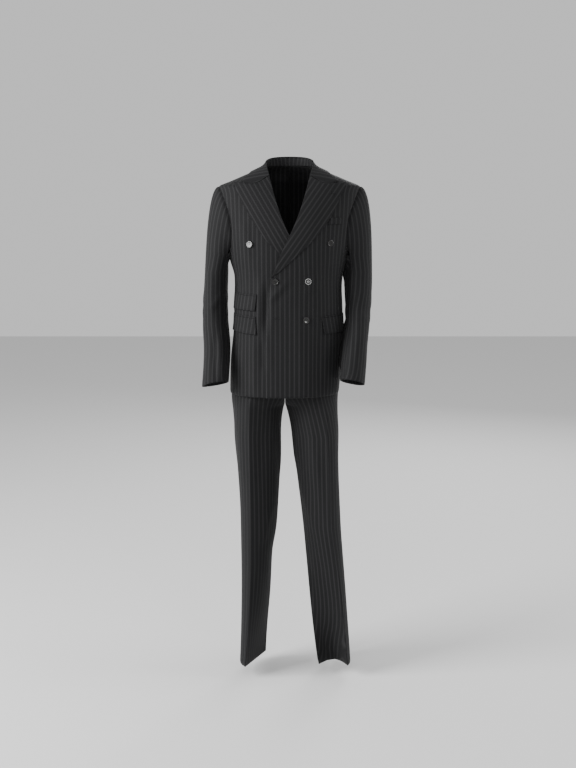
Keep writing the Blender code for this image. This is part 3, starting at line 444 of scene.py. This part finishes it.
class Girth:
    """Distances round a tube of cloth, measured on its sheets level by level from its middle."""
    levels_in_all = 48
    angles_in_all = 121
    farthest = 0.35

    def __init__(self, pieces, middle, low, high):
        mesh = bmesh.new()
        for piece in pieces:
            mesh.from_mesh(piece.data)
        tree = BVHTree.FromBMesh(mesh)
        mesh.free()
        self.middle = middle
        self.levels = np.linspace(low, high, self.levels_in_all)
        self.angles = np.linspace(-180, 180, self.angles_in_all)
        rows = []
        for level in self.levels:
            centre = middle(level)
            found, reach = [], []
            for angle in self.angles:
                turned = math.radians(angle)
                ray = Vector((math.sin(turned), -math.cos(turned), 0))
                hit = tree.ray_cast(Vector((centre[0], centre[1], level)), ray, self.farthest)
                if hit[0] is not None:
                    found.append(angle)
                    reach.append(hit[3])
            if len(found) < self.angles_in_all / 10:
                rows.append(None)
                continue
            radius = np.interp(self.angles, found, reach, period=360)
            place = np.radians(self.angles)
            ring = np.stack((radius * np.sin(place), -radius * np.cos(place)), axis=1)
            steps = np.linalg.norm(np.diff(ring, axis=0), axis=1)
            run = np.concatenate(([0.0], np.cumsum(steps)))
            rows.append(run - np.interp(0, self.angles, run))
        # a level where hardly anything was hit takes the row of the nearest good one
        known = [i for i, row in enumerate(rows) if row is not None]
        for i, row in enumerate(rows):
            if row is None:
                rows[i] = rows[min(known, key=lambda k: abs(k - i))]
        self.table = np.array(rows)
        # neighbouring levels are evened out, so that no stripe jumps from one to the next
        for _ in range(4):
            self.table[1:-1] = (self.table[:-2] + 2 * self.table[1:-1] + self.table[2:]) / 4

    def at(self, angles, heights):
        """The distance round the tube from its front, for angles and heights."""
        place = np.interp(heights, self.levels, np.arange(len(self.levels)))
        low = np.clip(place.astype(int), 0, len(self.levels) - 2)
        part = place - low
        column = (np.asarray(angles) + 180) / 360 * (len(self.angles) - 1)
        left = np.clip(column.astype(int), 0, len(self.angles) - 2)
        share = column - left
        below = self.table[low, left] * (1 - share) + self.table[low, left + 1] * share
        above = self.table[low + 1, left] * (1 - share) + self.table[low + 1, left + 1] * share
        return below * (1 - part) + above * part

    def of(self, points):
        centres = np.array([self.middle(z) for z in points[:, 2]])
        flat = points[:, :2] - centres
        angles = np.degrees(np.arctan2(flat[:, 0], -flat[:, 1]))
        return angles, self.at(angles, points[:, 2])


def finish_cloth(piece, node, material, on):
    """Gives a sheet its thickness and its cloth, and lets it stand for its solid."""
    apply_modifier(
        piece, "SOLIDIFY", thickness=CLOTH, offset=-1.0, use_rim=True, use_even_offset=False,
        thickness_clamp=0.0)
    for face in piece.data.polygons:
        face.use_smooth = True
    piece.data.materials.append(material)
    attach(piece, "root")
    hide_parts(node)


def body_middle(point):
    """The jacket's middle line, which its outer faces look away from."""
    return Vector((BODY_MIDDLE[0], BODY_MIDDLE[1], point.z))


body_panels = {}
for part in ("front", "side", "back"):
    for label in ("right", "left"):
        node = "jacket_%s_%s" % (part, label)
        body_panels[node] = outer_face(node, body_middle)
body_girth = Girth(body_panels.values(), lambda z: BODY_MIDDLE, -0.725, -0.010)
for node, piece in body_panels.items():
    finer(piece)
    points = points_of(piece)
    angles, around = body_girth.of(points)
    if "side" in node:
        around = around - body_girth.at(np.full(len(points), np.median(angles)), points[:, 2])
    if "back" in node:
        half = 180 if "left" in node else -180
        around = around - body_girth.at(np.full(len(points), half), points[:, 2])
    map_grain(piece, around, points[:, 2])
    creased(piece, BODY_FOLDS)
    sewn(piece)
meet(list(body_panels.values()))
sunk_under(body_panels["jacket_front_right"], body_panels["jacket_front_left"], 0.0030, 0.030)
ahead_of(body_panels["jacket_front_left"], [body_panels["jacket_front_right"]], CLOTH + 0.0005)


# Sleeves
# Each has an upper piece over the arm and a narrower under piece beneath it, set into the armhole
# and a little full at its head, and bent forward at the elbow.
# creases, in the columns of BODY_FOLDS
SLEEVE_FOLDS = (
    ("front", (-0.241, -0.545), (-0.236, -0.680), 0.0085, -0.0022),
    ("front", (-0.221, -0.520), (-0.219, -0.675), 0.0090, 0.0020),
    ("front", (-0.262, -0.560), (-0.262, -0.670), 0.0080, 0.0014),
    ("front", (-0.256, -0.330), (-0.250, -0.470), 0.0130, 0.0020),
    ("front", (-0.215, -0.400), (-0.250, -0.450), 0.0100, 0.0022),
    ("front", (0.196, -0.400), (0.204, -0.560), 0.0100, -0.0022),
    ("front", (0.228, -0.380), (0.226, -0.540), 0.0120, 0.0020),
    ("front", (0.214, -0.560), (0.218, -0.670), 0.0090, 0.0015),
    ("front", (0.205, -0.440), (0.240, -0.480), 0.0100, 0.0020),
    ("right", (0.020, -0.400), (-0.030, -0.440), 0.0110, 0.0013),
    ("right", (0.010, -0.455), (-0.040, -0.480), 0.0100, 0.0010),
    ("left", (0.015, -0.410), (-0.035, -0.450), 0.0110, 0.0013),
    ("left", (0.000, -0.470), (-0.050, -0.495), 0.0100, 0.0010),
    ("back", (-0.240, -0.330), (-0.236, -0.420), 0.0120, 0.0026),
    ("back", (-0.262, -0.430), (-0.215, -0.460), 0.0100, 0.0030),
    ("back", (0.232, -0.340), (0.226, -0.430), 0.0120, 0.0026),
    ("back", (0.250, -0.440), (0.200, -0.465), 0.0100, 0.0030),
)
# where the inside of a hanging sleeve rests on the body: node, lowest and highest point
ARM_RESTS = (
    ("under_sleeve_right", -0.310, -0.170),
    ("under_sleeve_left", -0.370, -0.170),
    ("under_sleeve_left", -0.660, -0.490),
    ("upper_sleeve_left", -0.660, -0.490),
)
SLEEVE_CUTS = {"upper_sleeve": (0.225, 0.665, 0.131), "under_sleeve": (0.140, 0.470, 0.053)}
# where a sleeve's middle is measured
ARM_HEIGHTS = (-0.690, -0.600, -0.500, -0.400, -0.335, -0.280)
UNDERARM = -0.225       # below this height the armhole's seam draws nothing in


def tucked(pieces, others, depth, width):
    """Sinks sheets where they run into the armhole's seam, less on the shoulder and not below."""
    trees = [tree_of(other) for other in others]
    for piece in pieces:
        points, normals = points_of(piece), normals_of(piece)
        for i, point in enumerate(points):
            found = [tree.find_nearest(Vector(point), width * 2.2)[3] for tree in trees]
            gaps = [distance for distance in found if distance is not None]
            if gaps:
                sink = depth * max(within(-point[2] * 10 - 0.5), 0.15)
                sink *= within((point[2] - UNDERARM) * 40)
                points[i] = point - normals[i] * sink * math.exp(-(min(gaps) / width) ** 2)
        put_points(piece, points)


def laid_against(piece, others, low, high, reach=0.016, gap=0.0010, fade=0.025):
    """Lets a hanging sleeve rest against the body beside it, between two heights. It moves less
    towards either height, and where the body is farther away."""
    trees = [tree_of(other) for other in others]
    points, normals = points_of(piece), normals_of(piece)
    inward = Vector((-math.copysign(1, points[:, 0].mean()), 0, 0))
    for i, point in enumerate(points):
        share = within(min(point[2] - low, high - point[2]) / fade)
        share *= within(inward.dot(Vector(normals[i])) * 3 + 0.7)
        found = [tree.ray_cast(Vector(point), inward, reach)[3] for tree in trees]
        found = [distance for distance in found if distance is not None]
        if found and share:
            step = max(min(found) - gap, 0) * share * eased(within(2 - 2 * min(found) / reach))
            points[i] = point + np.array(inward) * step
    put_points(piece, points)


sleeve_panels = {}
for label in ("right", "left"):
    nodes = ["upper_sleeve_" + label, "under_sleeve_" + label]
    sleeve_points = np.vstack([points_of(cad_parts[node]) for node in nodes])
    middles = []
    for height in ARM_HEIGHTS:
        near = sleeve_points[np.abs(sleeve_points[:, 2] - height) < 0.030]
        middles.append((near[:, :2].min(0) + near[:, :2].max(0)) / 2)
    middles = np.array(middles)

    def sleeve_middle(z, middles=middles):
        return (np.interp(z, ARM_HEIGHTS, middles[:, 0]), np.interp(z, ARM_HEIGHTS, middles[:, 1]))

    # the sleeve's head closes over its top, so the middle stops below it
    def sleeve_inside(point, middle=sleeve_middle):
        x, y = middle(point.z)
        return Vector((x, y, min(point.z, -0.14)))

    for node in nodes:
        sleeve_panels[node] = outer_face(node, sleeve_inside)
    girth = Girth([sleeve_panels[node] for node in nodes], sleeve_middle, -0.690, -0.075)
    side = 1 if label == "left" else -1
    for node in nodes:
        piece = sleeve_panels[node]
        finer(piece)
        points = points_of(piece)
        angles, around = girth.of(points)
        start = 90 * side if "upper" in node else -90 * side
        around = around - girth.at(np.full(len(points), start), points[:, 2])
        map_grain(piece, around, points[:, 2])
        creased(piece, SLEEVE_FOLDS)
        sewn(piece)
body, sleeves = list(body_panels.values()), list(sleeve_panels.values())
tucked(body, sleeves, 0.0020, 0.0060)
tucked(sleeves, body, 0.0034, 0.0085)
for node, low, high in ARM_RESTS:
    laid_against(sleeve_panels[node], body, low, high)
meet(body + sleeves, 0.0045)
for node, piece in sleeve_panels.items():
    cut = SLEEVE_CUTS[node.rsplit("_", 1)[0]]
    finish_cloth(piece, node, CLOTH_PLAIN, ["cloth_jacket_front_" + node.rsplit("_", 1)[1]])


# Lapels
# Wide peak lapels, turned out on their roll lines and pressed flat on the fronts. Their stripes
# run along the outer edge, and a row of hand stitches follows it.
LAPEL_GRAIN = {"right": ((-0.166, -0.045), (-0.030, -0.275)), "left": ((0.182, -0.045), (-0.030, -0.345))}
# a slight wave in the lapel's cloth, on the wearer's left just above the break
LAPEL_FOLDS = (
    ("front", (-0.012, -0.322), (0.026, -0.292), 0.0090, 0.0026),
    ("front", (0.020, -0.330), (0.052, -0.290), 0.0080, -0.0008),
)


def along_line(piece, start, end, tilt):
    """Maps the stripes along a straight line seen from the front. The tilt makes up for what the
    sheet's slope hides of its width."""
    points = points_of(piece)
    start, end = np.array(start), np.array(end)
    run = (end - start) / np.linalg.norm(end - start)
    flat = points[:, (0, 2)] - start
    map_grain(piece, (flat @ np.array((-run[1], run[0]))) * tilt, flat @ run)


def front_of(point):
    """A place far behind, so that the face that looks forward is the outer one."""
    return Vector((point.x, 0.3, point.z))


lapels = {}
for label in ("right", "left"):
    piece = outer_face("lapel_" + label, front_of)
    finer(piece)
    along_line(piece, *LAPEL_GRAIN[label], tilt=1.05)
    creased(piece, LAPEL_FOLDS)
    sewn(piece, 0.0003)
    ahead_of(piece, [body_panels["jacket_front_" + label]], CLOTH + 0.0006)
    lapels[label] = piece
sunk_under(lapels["right"], body_panels["jacket_front_left"], 0.0020, 0.020)
sunk_under(lapels["right"], lapels["left"], 0.0020, 0.020)
ahead_of(lapels["left"], [lapels["right"]], CLOTH + 0.0006)


# Collar
# A leaf that falls from the fold over the neck seam, and a stand inside it. Both are cut across
# the fold, so at the front their stripes lie level.
COLLAR_FOLD = (
    (-0.075, -0.080, -0.045), (-0.069, -0.028, -0.004), (-0.066, 0.020, 0.018), (-0.060, 0.058, 0.0275),
    (-0.034, 0.080, 0.030), (0.000, 0.086, 0.031), (0.034, 0.080, 0.030), (0.060, 0.058, 0.0275),
    (0.066, 0.020, 0.018), (0.069, -0.028, -0.004), (0.075, -0.080, -0.045),
)


def along_path(piece, path):
    """Maps the stripes across a path: the map runs with the path's length."""
    path = np.array(path)
    steps = np.linalg.norm(np.diff(path, axis=0), axis=1)
    marks = np.concatenate(([0.0], np.cumsum(steps)))
    fine = np.linspace(0, marks[-1], 400)
    line = np.stack([np.interp(fine, marks, path[:, axis]) for axis in range(3)], axis=1)
    points = points_of(piece)
    offs = np.linalg.norm(points[:, None, :] - line[None, :, :], axis=2)
    weight = np.exp(-((offs - offs.min(1)[:, None]) / 0.004))
    across = (weight * fine).sum(1) / weight.sum(1)
    map_grain(piece, across - marks[-1] / 2, offs.min(1))


def neck_outside(point):
    """A place below the leaf, inside the neck."""
    return Vector((0.0, 0.0, point.z - 0.12))


def neck_inside(point):
    """A place inside the neck, level with the stand."""
    return Vector((point.x * 0.2, point.y * 0.2, point.z))


collar = outer_face("collar_leaf", neck_outside)
finer(collar)
along_path(collar, COLLAR_FOLD)
sewn(collar, 0.0003)
under = [body_panels[node] for node in body_panels if "side" not in node]
ahead_of(collar, under, CLOTH + 0.0006)
ahead_of(collar, list(lapels.values()), CLOTH + 0.0003)
stand = outer_face("collar_stand", neck_inside)
finer(stand, 2)
along_path(stand, COLLAR_FOLD)
sewn(stand, 0.0003)
meet([collar, lapels["left"], lapels["right"]], 0.0016)
for label, piece in lapels.items():
    front = "cloth_jacket_front_" + label
    finish_cloth(piece, "lapel_" + label, CLOTH_STITCHED, [front])
shoulders = ["cloth_jacket_back_left", "cloth_jacket_back_right"]
finish_cloth(collar, "collar_leaf", CLOTH_STITCHED, shoulders)
finish_cloth(stand, "collar_stand", CLOTH_PLAIN, shoulders)


# Pockets
# A slanting welt on the left breast, a flap and a jet over each hip pocket, and a smaller ticket
# flap and jet above the right one. They are cut so that their stripes meet the front's.
def match_front(piece, lean):
    """Takes the front's stripes over, leaning a little where the flap hangs free."""
    points = points_of(piece)
    around = body_girth.of(points)[1]
    top = points[:, 2].max()
    map_grain(piece, around + lean * (top - points[:, 2]), points[:, 2])


JET_WALL = 0.0014
# node, lean of its stripes, its packed wall, and its cutting size
POCKETS = (
    ("breast_welt", 0.0, WALL, (0.047, 0.022, 0.0009)),
    ("jet_hip_right", 0.0, JET_WALL, (0.095, 0.010, 0.0006)),
    ("flap_hip_right", 0.14, WALL, (0.116, 0.057, 0.0060)),
    ("jet_ticket", 0.0, JET_WALL, (0.095, 0.010, 0.0006)),
    ("flap_ticket", 0.10, WALL, (0.108, 0.051, 0.0052)),
    ("jet_hip_left", 0.0, JET_WALL, (0.095, 0.010, 0.0006)),
    ("flap_hip_left", -0.16, WALL, (0.112, 0.057, 0.0058)),
)
for node, lean, wall, cut in POCKETS:
    piece = outer_face(node, front_of, wall)
    finer(piece)
    match_front(piece, lean)
    sewn(piece, 0.0005)
    label = "right" if "right" in node or "ticket" in node else "left"
    carried = [body_panels["jacket_front_" + label], body_panels["jacket_side_" + label]]
    ahead_of(piece, carried, CLOTH + 0.0004)
    material = CLOTH_PLAIN if "jet" in node else CLOTH_STITCHED
    finish_cloth(piece, node, material, ["cloth_jacket_front_" + label])

# only now do the body's panels get their thickness, because what lies on them was fitted to them
for node, piece in body_panels.items():
    part, label = node.split("_")[1:]
    carrier = "cloth_collar_leaf" if part == "back" else "cloth_jacket_back_" + label
    finish_cloth(piece, node, CLOTH_PLAIN, [carrier])


# Trousers
# Each leg is a front and a back, pressed into a sharp crease down the middle of both. The legs
# hang straight to plain hems, and a band closes the waist under the jacket.
# creases, in the columns of BODY_FOLDS
LEG_FOLDS = (
    ("front", (0.060, -0.815), (0.088, -1.010), 0.0150, 0.0036),
    ("front", (0.034, -0.840), (0.026, -0.960), 0.0120, 0.0028),
    ("front", (0.034, -1.030), (0.092, -1.200), 0.0140, 0.0030),
    ("front", (0.118, -0.860), (0.120, -1.120), 0.0150, -0.0022),
    ("front", (0.078, -1.290), (0.112, -1.460), 0.0150, 0.0022),
    ("front", (-0.056, -0.800), (-0.062, -0.960), 0.0140, 0.0030),
    ("front", (-0.090, -0.850), (-0.096, -1.040), 0.0150, -0.0020),
    ("front", (-0.066, -1.130), (-0.090, -1.230), 0.0120, 0.0034),
    ("front", (-0.110, -1.260), (-0.100, -1.430), 0.0150, 0.0020),
    ("front", (-0.160, -0.840), (-0.156, -1.020), 0.0120, 0.0018),
    ("back", (0.050, -0.830), (0.120, -0.880), 0.0140, 0.0044),
    ("back", (0.040, -0.900), (0.110, -0.960), 0.0150, 0.0036),
    ("back", (0.060, -1.160), (0.140, -1.200), 0.0130, 0.0040),
    ("back", (0.080, -1.240), (0.150, -1.225), 0.0130, 0.0030),
    ("back", (-0.050, -0.840), (-0.130, -0.880), 0.0140, 0.0044),
    ("back", (-0.046, -0.920), (-0.120, -0.960), 0.0150, 0.0034),
    ("back", (-0.070, -1.170), (-0.140, -1.200), 0.0130, 0.0040),
    ("back", (-0.074, -1.250), (-0.150, -1.230), 0.0130, 0.0028),
    ("left", (-0.030, -0.830), (0.010, -1.000), 0.0150, 0.0024),
    ("right", (-0.020, -0.850), (0.020, -1.010), 0.0150, 0.0024),
)
# where a leg's middle is measured
LEG_HEIGHTS = (-1.655, -1.500, -1.350, -1.200, -1.050, -0.900, -0.800, -0.720, -0.640, -0.560)
CREASE_HEIGHTS = (-1.661, -1.480, -1.320, -1.180, -1.020, -0.870, -0.740, -0.500)
# x of the front crease at each of those heights
CREASES = {
    "right": (-0.149, -0.137, -0.131, -0.130, -0.1305, -0.132, -0.126, -0.087),
    "left": (0.1965, 0.180, 0.1615, 0.140, 0.134, 0.128, 0.100, 0.066),
}
LEG_FRONT = 0.095       # from a leg's middle to its front crease


def crease_sharply(piece, sharpest):
    """Keeps the pressed crease sharp when the sheet is made finer."""
    mesh = bmesh.new()
    mesh.from_mesh(piece.data)
    layer = mesh.edges.layers.float.get("crease_edge") or mesh.edges.layers.float.new("crease_edge")
    for edge in mesh.edges:
        if len(edge.link_faces) == 2 and edge.calc_face_angle() > sharpest:
            edge[layer] = 0.75
    mesh.to_mesh(piece.data)
    mesh.free()


leg_panels = {}
for label in ("right", "left"):
    nodes = ["trouser_front_" + label, "trouser_back_" + label]
    leg_points = np.vstack([points_of(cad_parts[node]) for node in nodes])
    middles = []
    for height in LEG_HEIGHTS:
        near = leg_points[np.abs(leg_points[:, 2] - height) < 0.055]
        middles.append((near[:, :2].min(0) + near[:, :2].max(0)) / 2)
    middles = np.array(middles)

    def leg_middle(z, middles=middles):
        return (np.interp(z, LEG_HEIGHTS, middles[:, 0]), np.interp(z, LEG_HEIGHTS, middles[:, 1]))

    def leg_inside(point, middle=leg_middle):
        x, y = middle(point.z)
        return Vector((x, y, point.z))

    for node in nodes:
        leg_panels[node] = outer_face(node, leg_inside)
    # measured above the hem and below the fork, past which the stripes run straight on
    girth = Girth([leg_panels[node] for node in nodes], leg_middle, -1.615, -0.840)
    for node in nodes:
        piece = leg_panels[node]
        crease_sharply(piece, math.radians(30))
        finer(piece)
        points = points_of(piece)
        angles, around = girth.of(points)
        centres = np.array([leg_middle(z) for z in points[:, 2]])
        crease_x = np.interp(points[:, 2], CREASE_HEIGHTS, CREASES[label]) - centres[:, 0]
        if "front" in node:
            start = np.degrees(np.arctan2(crease_x, LEG_FRONT))
        else:
            start = np.full(len(points), 180.0)
            around = np.where(angles < 0, around + girth.at(start, points[:, 2]) * 2, around)
        around = around - girth.at(start, points[:, 2])
        map_grain(piece, around, points[:, 2])
        creased(piece, LEG_FOLDS)
        sewn(piece)
waistband = outer_face("waistband", body_middle)
finer(waistband)
band_points = points_of(waistband)
map_grain(waistband, body_girth.of(band_points)[1], band_points[:, 2])
sewn(waistband)

meet([waistband] + list(leg_panels.values()))
for node, piece in leg_panels.items():
    finish_cloth(piece, node, CLOTH_PLAIN, ["cloth_waistband"])
finish_cloth(waistband, "waistband", CLOTH_PLAIN, ["cloth_trouser_back_left"])


# Buttons
# Five of polished dark horn on the front and four at each cuff, turned with a dished middle inside
# a raised rim, drilled with four holes and sewn on with crossed thread.
BUTTON_HEIGHT = 0.155       # as a part of its diameter, as are the hole's radius and place
HOLE_RADIUS = 0.046
HOLE_PLACE = 0.095
# two hang a little loose: how far they tilt up and towards the wearer's right, in degrees
BUTTON_TILT = {"button_upper_right": (9, 7), "button_middle_left": (7, 0)}


def polished_horn():
    """Dark horn with faint paler clouds, polished and a little worn on the rim."""
    shader = Shader("button_horn", 0.15, specular=0.35)
    place = shader.node("ShaderNodeTexCoord", {}, {}, output=3)
    clouds = shader.noise(shader.stretched(place, (130, 130, 420)), 1.0, 4.0)
    scratches = shader.noise(place, 900.0, 3.0)
    part = (clouds * 1.6 - 0.45).clipped()
    colour = shader.mixed(part, (0.0050, 0.0050, 0.0050, 1), (0.0200, 0.0190, 0.0180, 1))
    shader.surface.inputs["Coat Weight"].default_value = 0.15
    shader.surface.inputs["Coat Roughness"].default_value = 0.10
    return shader.finish(colour, 0.12 + scratches * 0.10, scratches, 0.08, 0.0001)


def sewing_thread(name, colour):
    """Twisted thread: fine slanting ridges along each strand."""
    shader = Shader(name, 0.8, specular=0.3)
    place = shader.node("ShaderNodeTexCoord", {}, {}, output=3)
    across = shader.node("ShaderNodeSeparateXYZ", {}, {"Vector": place})
    up = shader.node("ShaderNodeSeparateXYZ", {}, {"Vector": place}, output=2)
    twist = ((across + up * 0.8) * (2 * math.pi / 0.0007)).sine() * 0.5 + 0.5
    # painted shade: the grooves of the twist are painted at half the thread's colour
    shade = shader.mixed(twist, tuple(0.5 * value for value in colour[:3]) + (1,), colour)
    return shader.finish(shade, 0.75 + twist * 0.1, twist, 0.6, 0.0002)


def edit_top(piece, lowest):
    """Opens a piece in edit mode with only the faces that look up above a height selected."""
    bpy.ops.object.mode_set(mode="EDIT")
    bpy.ops.mesh.select_mode(type="FACE")
    bpy.ops.mesh.select_all(action="DESELECT")
    mesh = bmesh.from_edit_mesh(piece.data)
    for face in mesh.faces:
        face.select_set(face.normal.z > 0.9 and face.calc_center_median().z > lowest)
    bmesh.update_edit_mesh(piece.data)


HORN = polished_horn()
THREADS = sewing_thread("thread", (0.020, 0.020, 0.021, 1))
bpy.ops.object.select_all(action="DESELECT")
bpy.ops.mesh.primitive_cylinder_add(
    vertices=44, radius=0.5, depth=BUTTON_HEIGHT * 0.8, location=(0, 0, BUTTON_HEIGHT * 0.4))
model = bpy.context.object
bpy.ops.object.transform_apply(location=True)
edit_top(model, BUTTON_HEIGHT * 0.7)
# inwards from the edge, the top rises to the rim, runs level, and falls to the dished middle
for inward, rise in ((0.030, 0.06), (0.075, 0.0), (0.040, -0.12), (0.150, -0.10)):
    bpy.ops.mesh.inset(thickness=inward)
    bpy.ops.transform.translate(value=(0, 0, rise * BUTTON_HEIGHT))
bpy.ops.object.mode_set(mode="OBJECT")
for x, y in ((1, 1), (-1, 1), (-1, -1), (1, -1)):
    bpy.ops.object.select_all(action="DESELECT")
    bpy.ops.mesh.primitive_cylinder_add(
        vertices=14, radius=HOLE_RADIUS, depth=0.6, location=(x * HOLE_PLACE, y * HOLE_PLACE, 0))
    drill = bpy.context.object
    apply_modifier(model, "BOOLEAN", operation="DIFFERENCE", solver="EXACT", object=drill)
    bpy.data.objects.remove(drill, do_unlink=True)
apply_modifier(model, "BEVEL", width=0.012, segments=2, limit_method="ANGLE", angle_limit=math.radians(32))
model.data.materials.append(HORN)
# two strands cross over the holes, one a little higher than the other, and a shank is below
strands = []
for turn in (45, -45):
    bpy.ops.object.select_all(action="DESELECT")
    bpy.ops.mesh.primitive_cylinder_add(
        vertices=10, radius=0.026, depth=0.27, location=(0, 0, BUTTON_HEIGHT * (0.66 + 0.001 * turn)),
        rotation=(math.radians(90), 0, math.radians(turn)))
    strands.append(bpy.context.object)
bpy.ops.object.select_all(action="DESELECT")
bpy.ops.mesh.primitive_cylinder_add(vertices=16, radius=0.11, depth=0.12, location=(0, 0, -0.055))
strands.append(bpy.context.object)
for strand in strands:
    apply_modifier(strand, "BEVEL", width=0.012, segments=2)
    strand.data.materials.append(THREADS)
bpy.ops.object.select_all(action="DESELECT")
for part in strands + [model]:
    part.select_set(True)
bpy.context.view_layer.objects.active = model
bpy.ops.object.join()
bpy.ops.object.shade_smooth_by_angle(angle=math.radians(12))

button_nodes = sorted(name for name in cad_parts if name.startswith("button"))
for node in button_nodes:
    points = points_of(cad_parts[node])
    centre = (points.max(0) + points.min(0)) / 2
    axes = np.linalg.svd(points - points.mean(0), full_matrices=False)[2]
    normal = Vector(axes[2])
    outward = Vector((0, -1, 0)) if "sleeve" not in node else Vector((math.copysign(1, centre[0]), 0, 0))
    if normal.dot(outward) < 0:
        normal.negate()
    tilt_up, tilt_right = BUTTON_TILT.get(node, (0, 0))
    up = Matrix.Rotation(math.radians(-tilt_up), 4, "X")
    right = Matrix.Rotation(math.radians(-tilt_right), 4, "Z")
    normal = (up @ right).to_3x3() @ normal
    # the diameter, a hair under the solid's
    size = np.linalg.norm(points - centre, axis=1).max() * 1.98
    flat = (points - centre) @ np.array(axes[2])
    base = Vector(centre) - normal * (np.ptp(flat) / 2)
    turned = normal.to_track_quat("Z", "Y").to_matrix().to_4x4()
    data = model.data.copy()
    data.transform(Matrix.Translation(base) @ turned @ Matrix.Scale(size, 4))
    piece = bpy.data.objects.new("sewn_" + node, data)
    bpy.context.scene.collection.objects.link(piece)
    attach(piece, "root")
    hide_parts(node)
bpy.data.objects.remove(model, do_unlink=True)


# Buttonholes
# Worked by hand in twisted thread: one under the fastened button at the left front's edge, an
# open one below it, and one on the left lapel.
# name, x, z, length, lean in degrees, and the sheet that it is worked on
BUTTONHOLES = (
    ("buttonhole_middle", -0.0520, -0.3470, 0.022, 0, "cloth_jacket_front_left"),
    ("buttonhole_lower", -0.0420, -0.4750, 0.022, 0, "cloth_jacket_front_left"),
    ("buttonhole_lapel", 0.1360, -0.0850, 0.021, -32, "cloth_lapel_left"),
)
for name, x, z, length, lean, carrier in BUTTONHOLES:
    hit = tree_of(bpy.data.objects[carrier]).ray_cast(Vector((x, -0.4, z)), Vector((0, 1, 0)), 0.5)
    bpy.ops.object.select_all(action="DESELECT")
    bpy.ops.mesh.primitive_torus_add(
        major_radius=length / 2, minor_radius=0.00075, major_segments=48, minor_segments=8)
    ring = bpy.context.object
    ring.name = name
    # the ring is squeezed to a sixth of its length
    edge = Matrix.Scale(0.17, 4, Vector((0, 1, 0)))
    leaned = Matrix.Rotation(math.radians(lean), 4, "Z")
    facing = hit[1].to_track_quat("Z", "Y").to_matrix().to_4x4()
    ring.data.transform(Matrix.Translation(hit[0] + hit[1] * 0.0002) @ facing @ leaned @ edge)
    for face in ring.data.polygons:
        face.use_smooth = True
    ring.data.materials.append(THREADS)
    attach(ring, "root")


# Studio
# A pale floor under a pale sky, a large soft light on the wearer's right, a weaker one on the other
# side, soft ones in front and behind, and a small one that glints in a button.
bpy.ops.object.select_all(action="DESELECT")
bpy.ops.mesh.primitive_plane_add(size=14, location=(0, 1.5, -1.705))
floor = bpy.context.object
floor.name = "floor"
floor_shader = Shader("floor", 0.9)
floor_shader.surface.inputs["Base Color"].default_value = (0.66, 0.66, 0.66, 1)
floor.data.materials.append(floor_shader.material)

world = bpy.data.worlds.new("studio")
world.use_nodes = True
world.node_tree.nodes["Background"].inputs["Color"].default_value = (1, 1, 1, 1)
world.node_tree.nodes["Background"].inputs["Strength"].default_value = 0.72
bpy.context.scene.world = world

LIGHTS = (
    ("key", (-3.3, -1.4, 0.8), (0, 0, -0.4), 2.0, 275),
    ("rim", (3.4, -0.2, 0.4), (0, 0, -0.7), 1.8, 62),
    ("fill", (-0.5, -3.2, 1.5), (0, 0, -0.3), 1.1, 18),
    ("glint", (1.38, -3.50, -0.24), (0.06, -0.13, -0.36), 0.5, 14),
    ("back", (1.3, 3.6, 0.9), (0, 0, -0.6), 1.6, 70),
)
for name, place, target, size, power in LIGHTS:
    lamp = bpy.data.lights.new(name, "AREA")
    lamp.shape = "SQUARE"
    lamp.size = size
    lamp.energy = power
    holder = bpy.data.objects.new(name, lamp)
    holder.location = place
    holder.rotation_euler = (Vector(target) - Vector(place)).to_track_quat("-Z", "Y").to_euler()
    bpy.context.scene.collection.objects.link(holder)
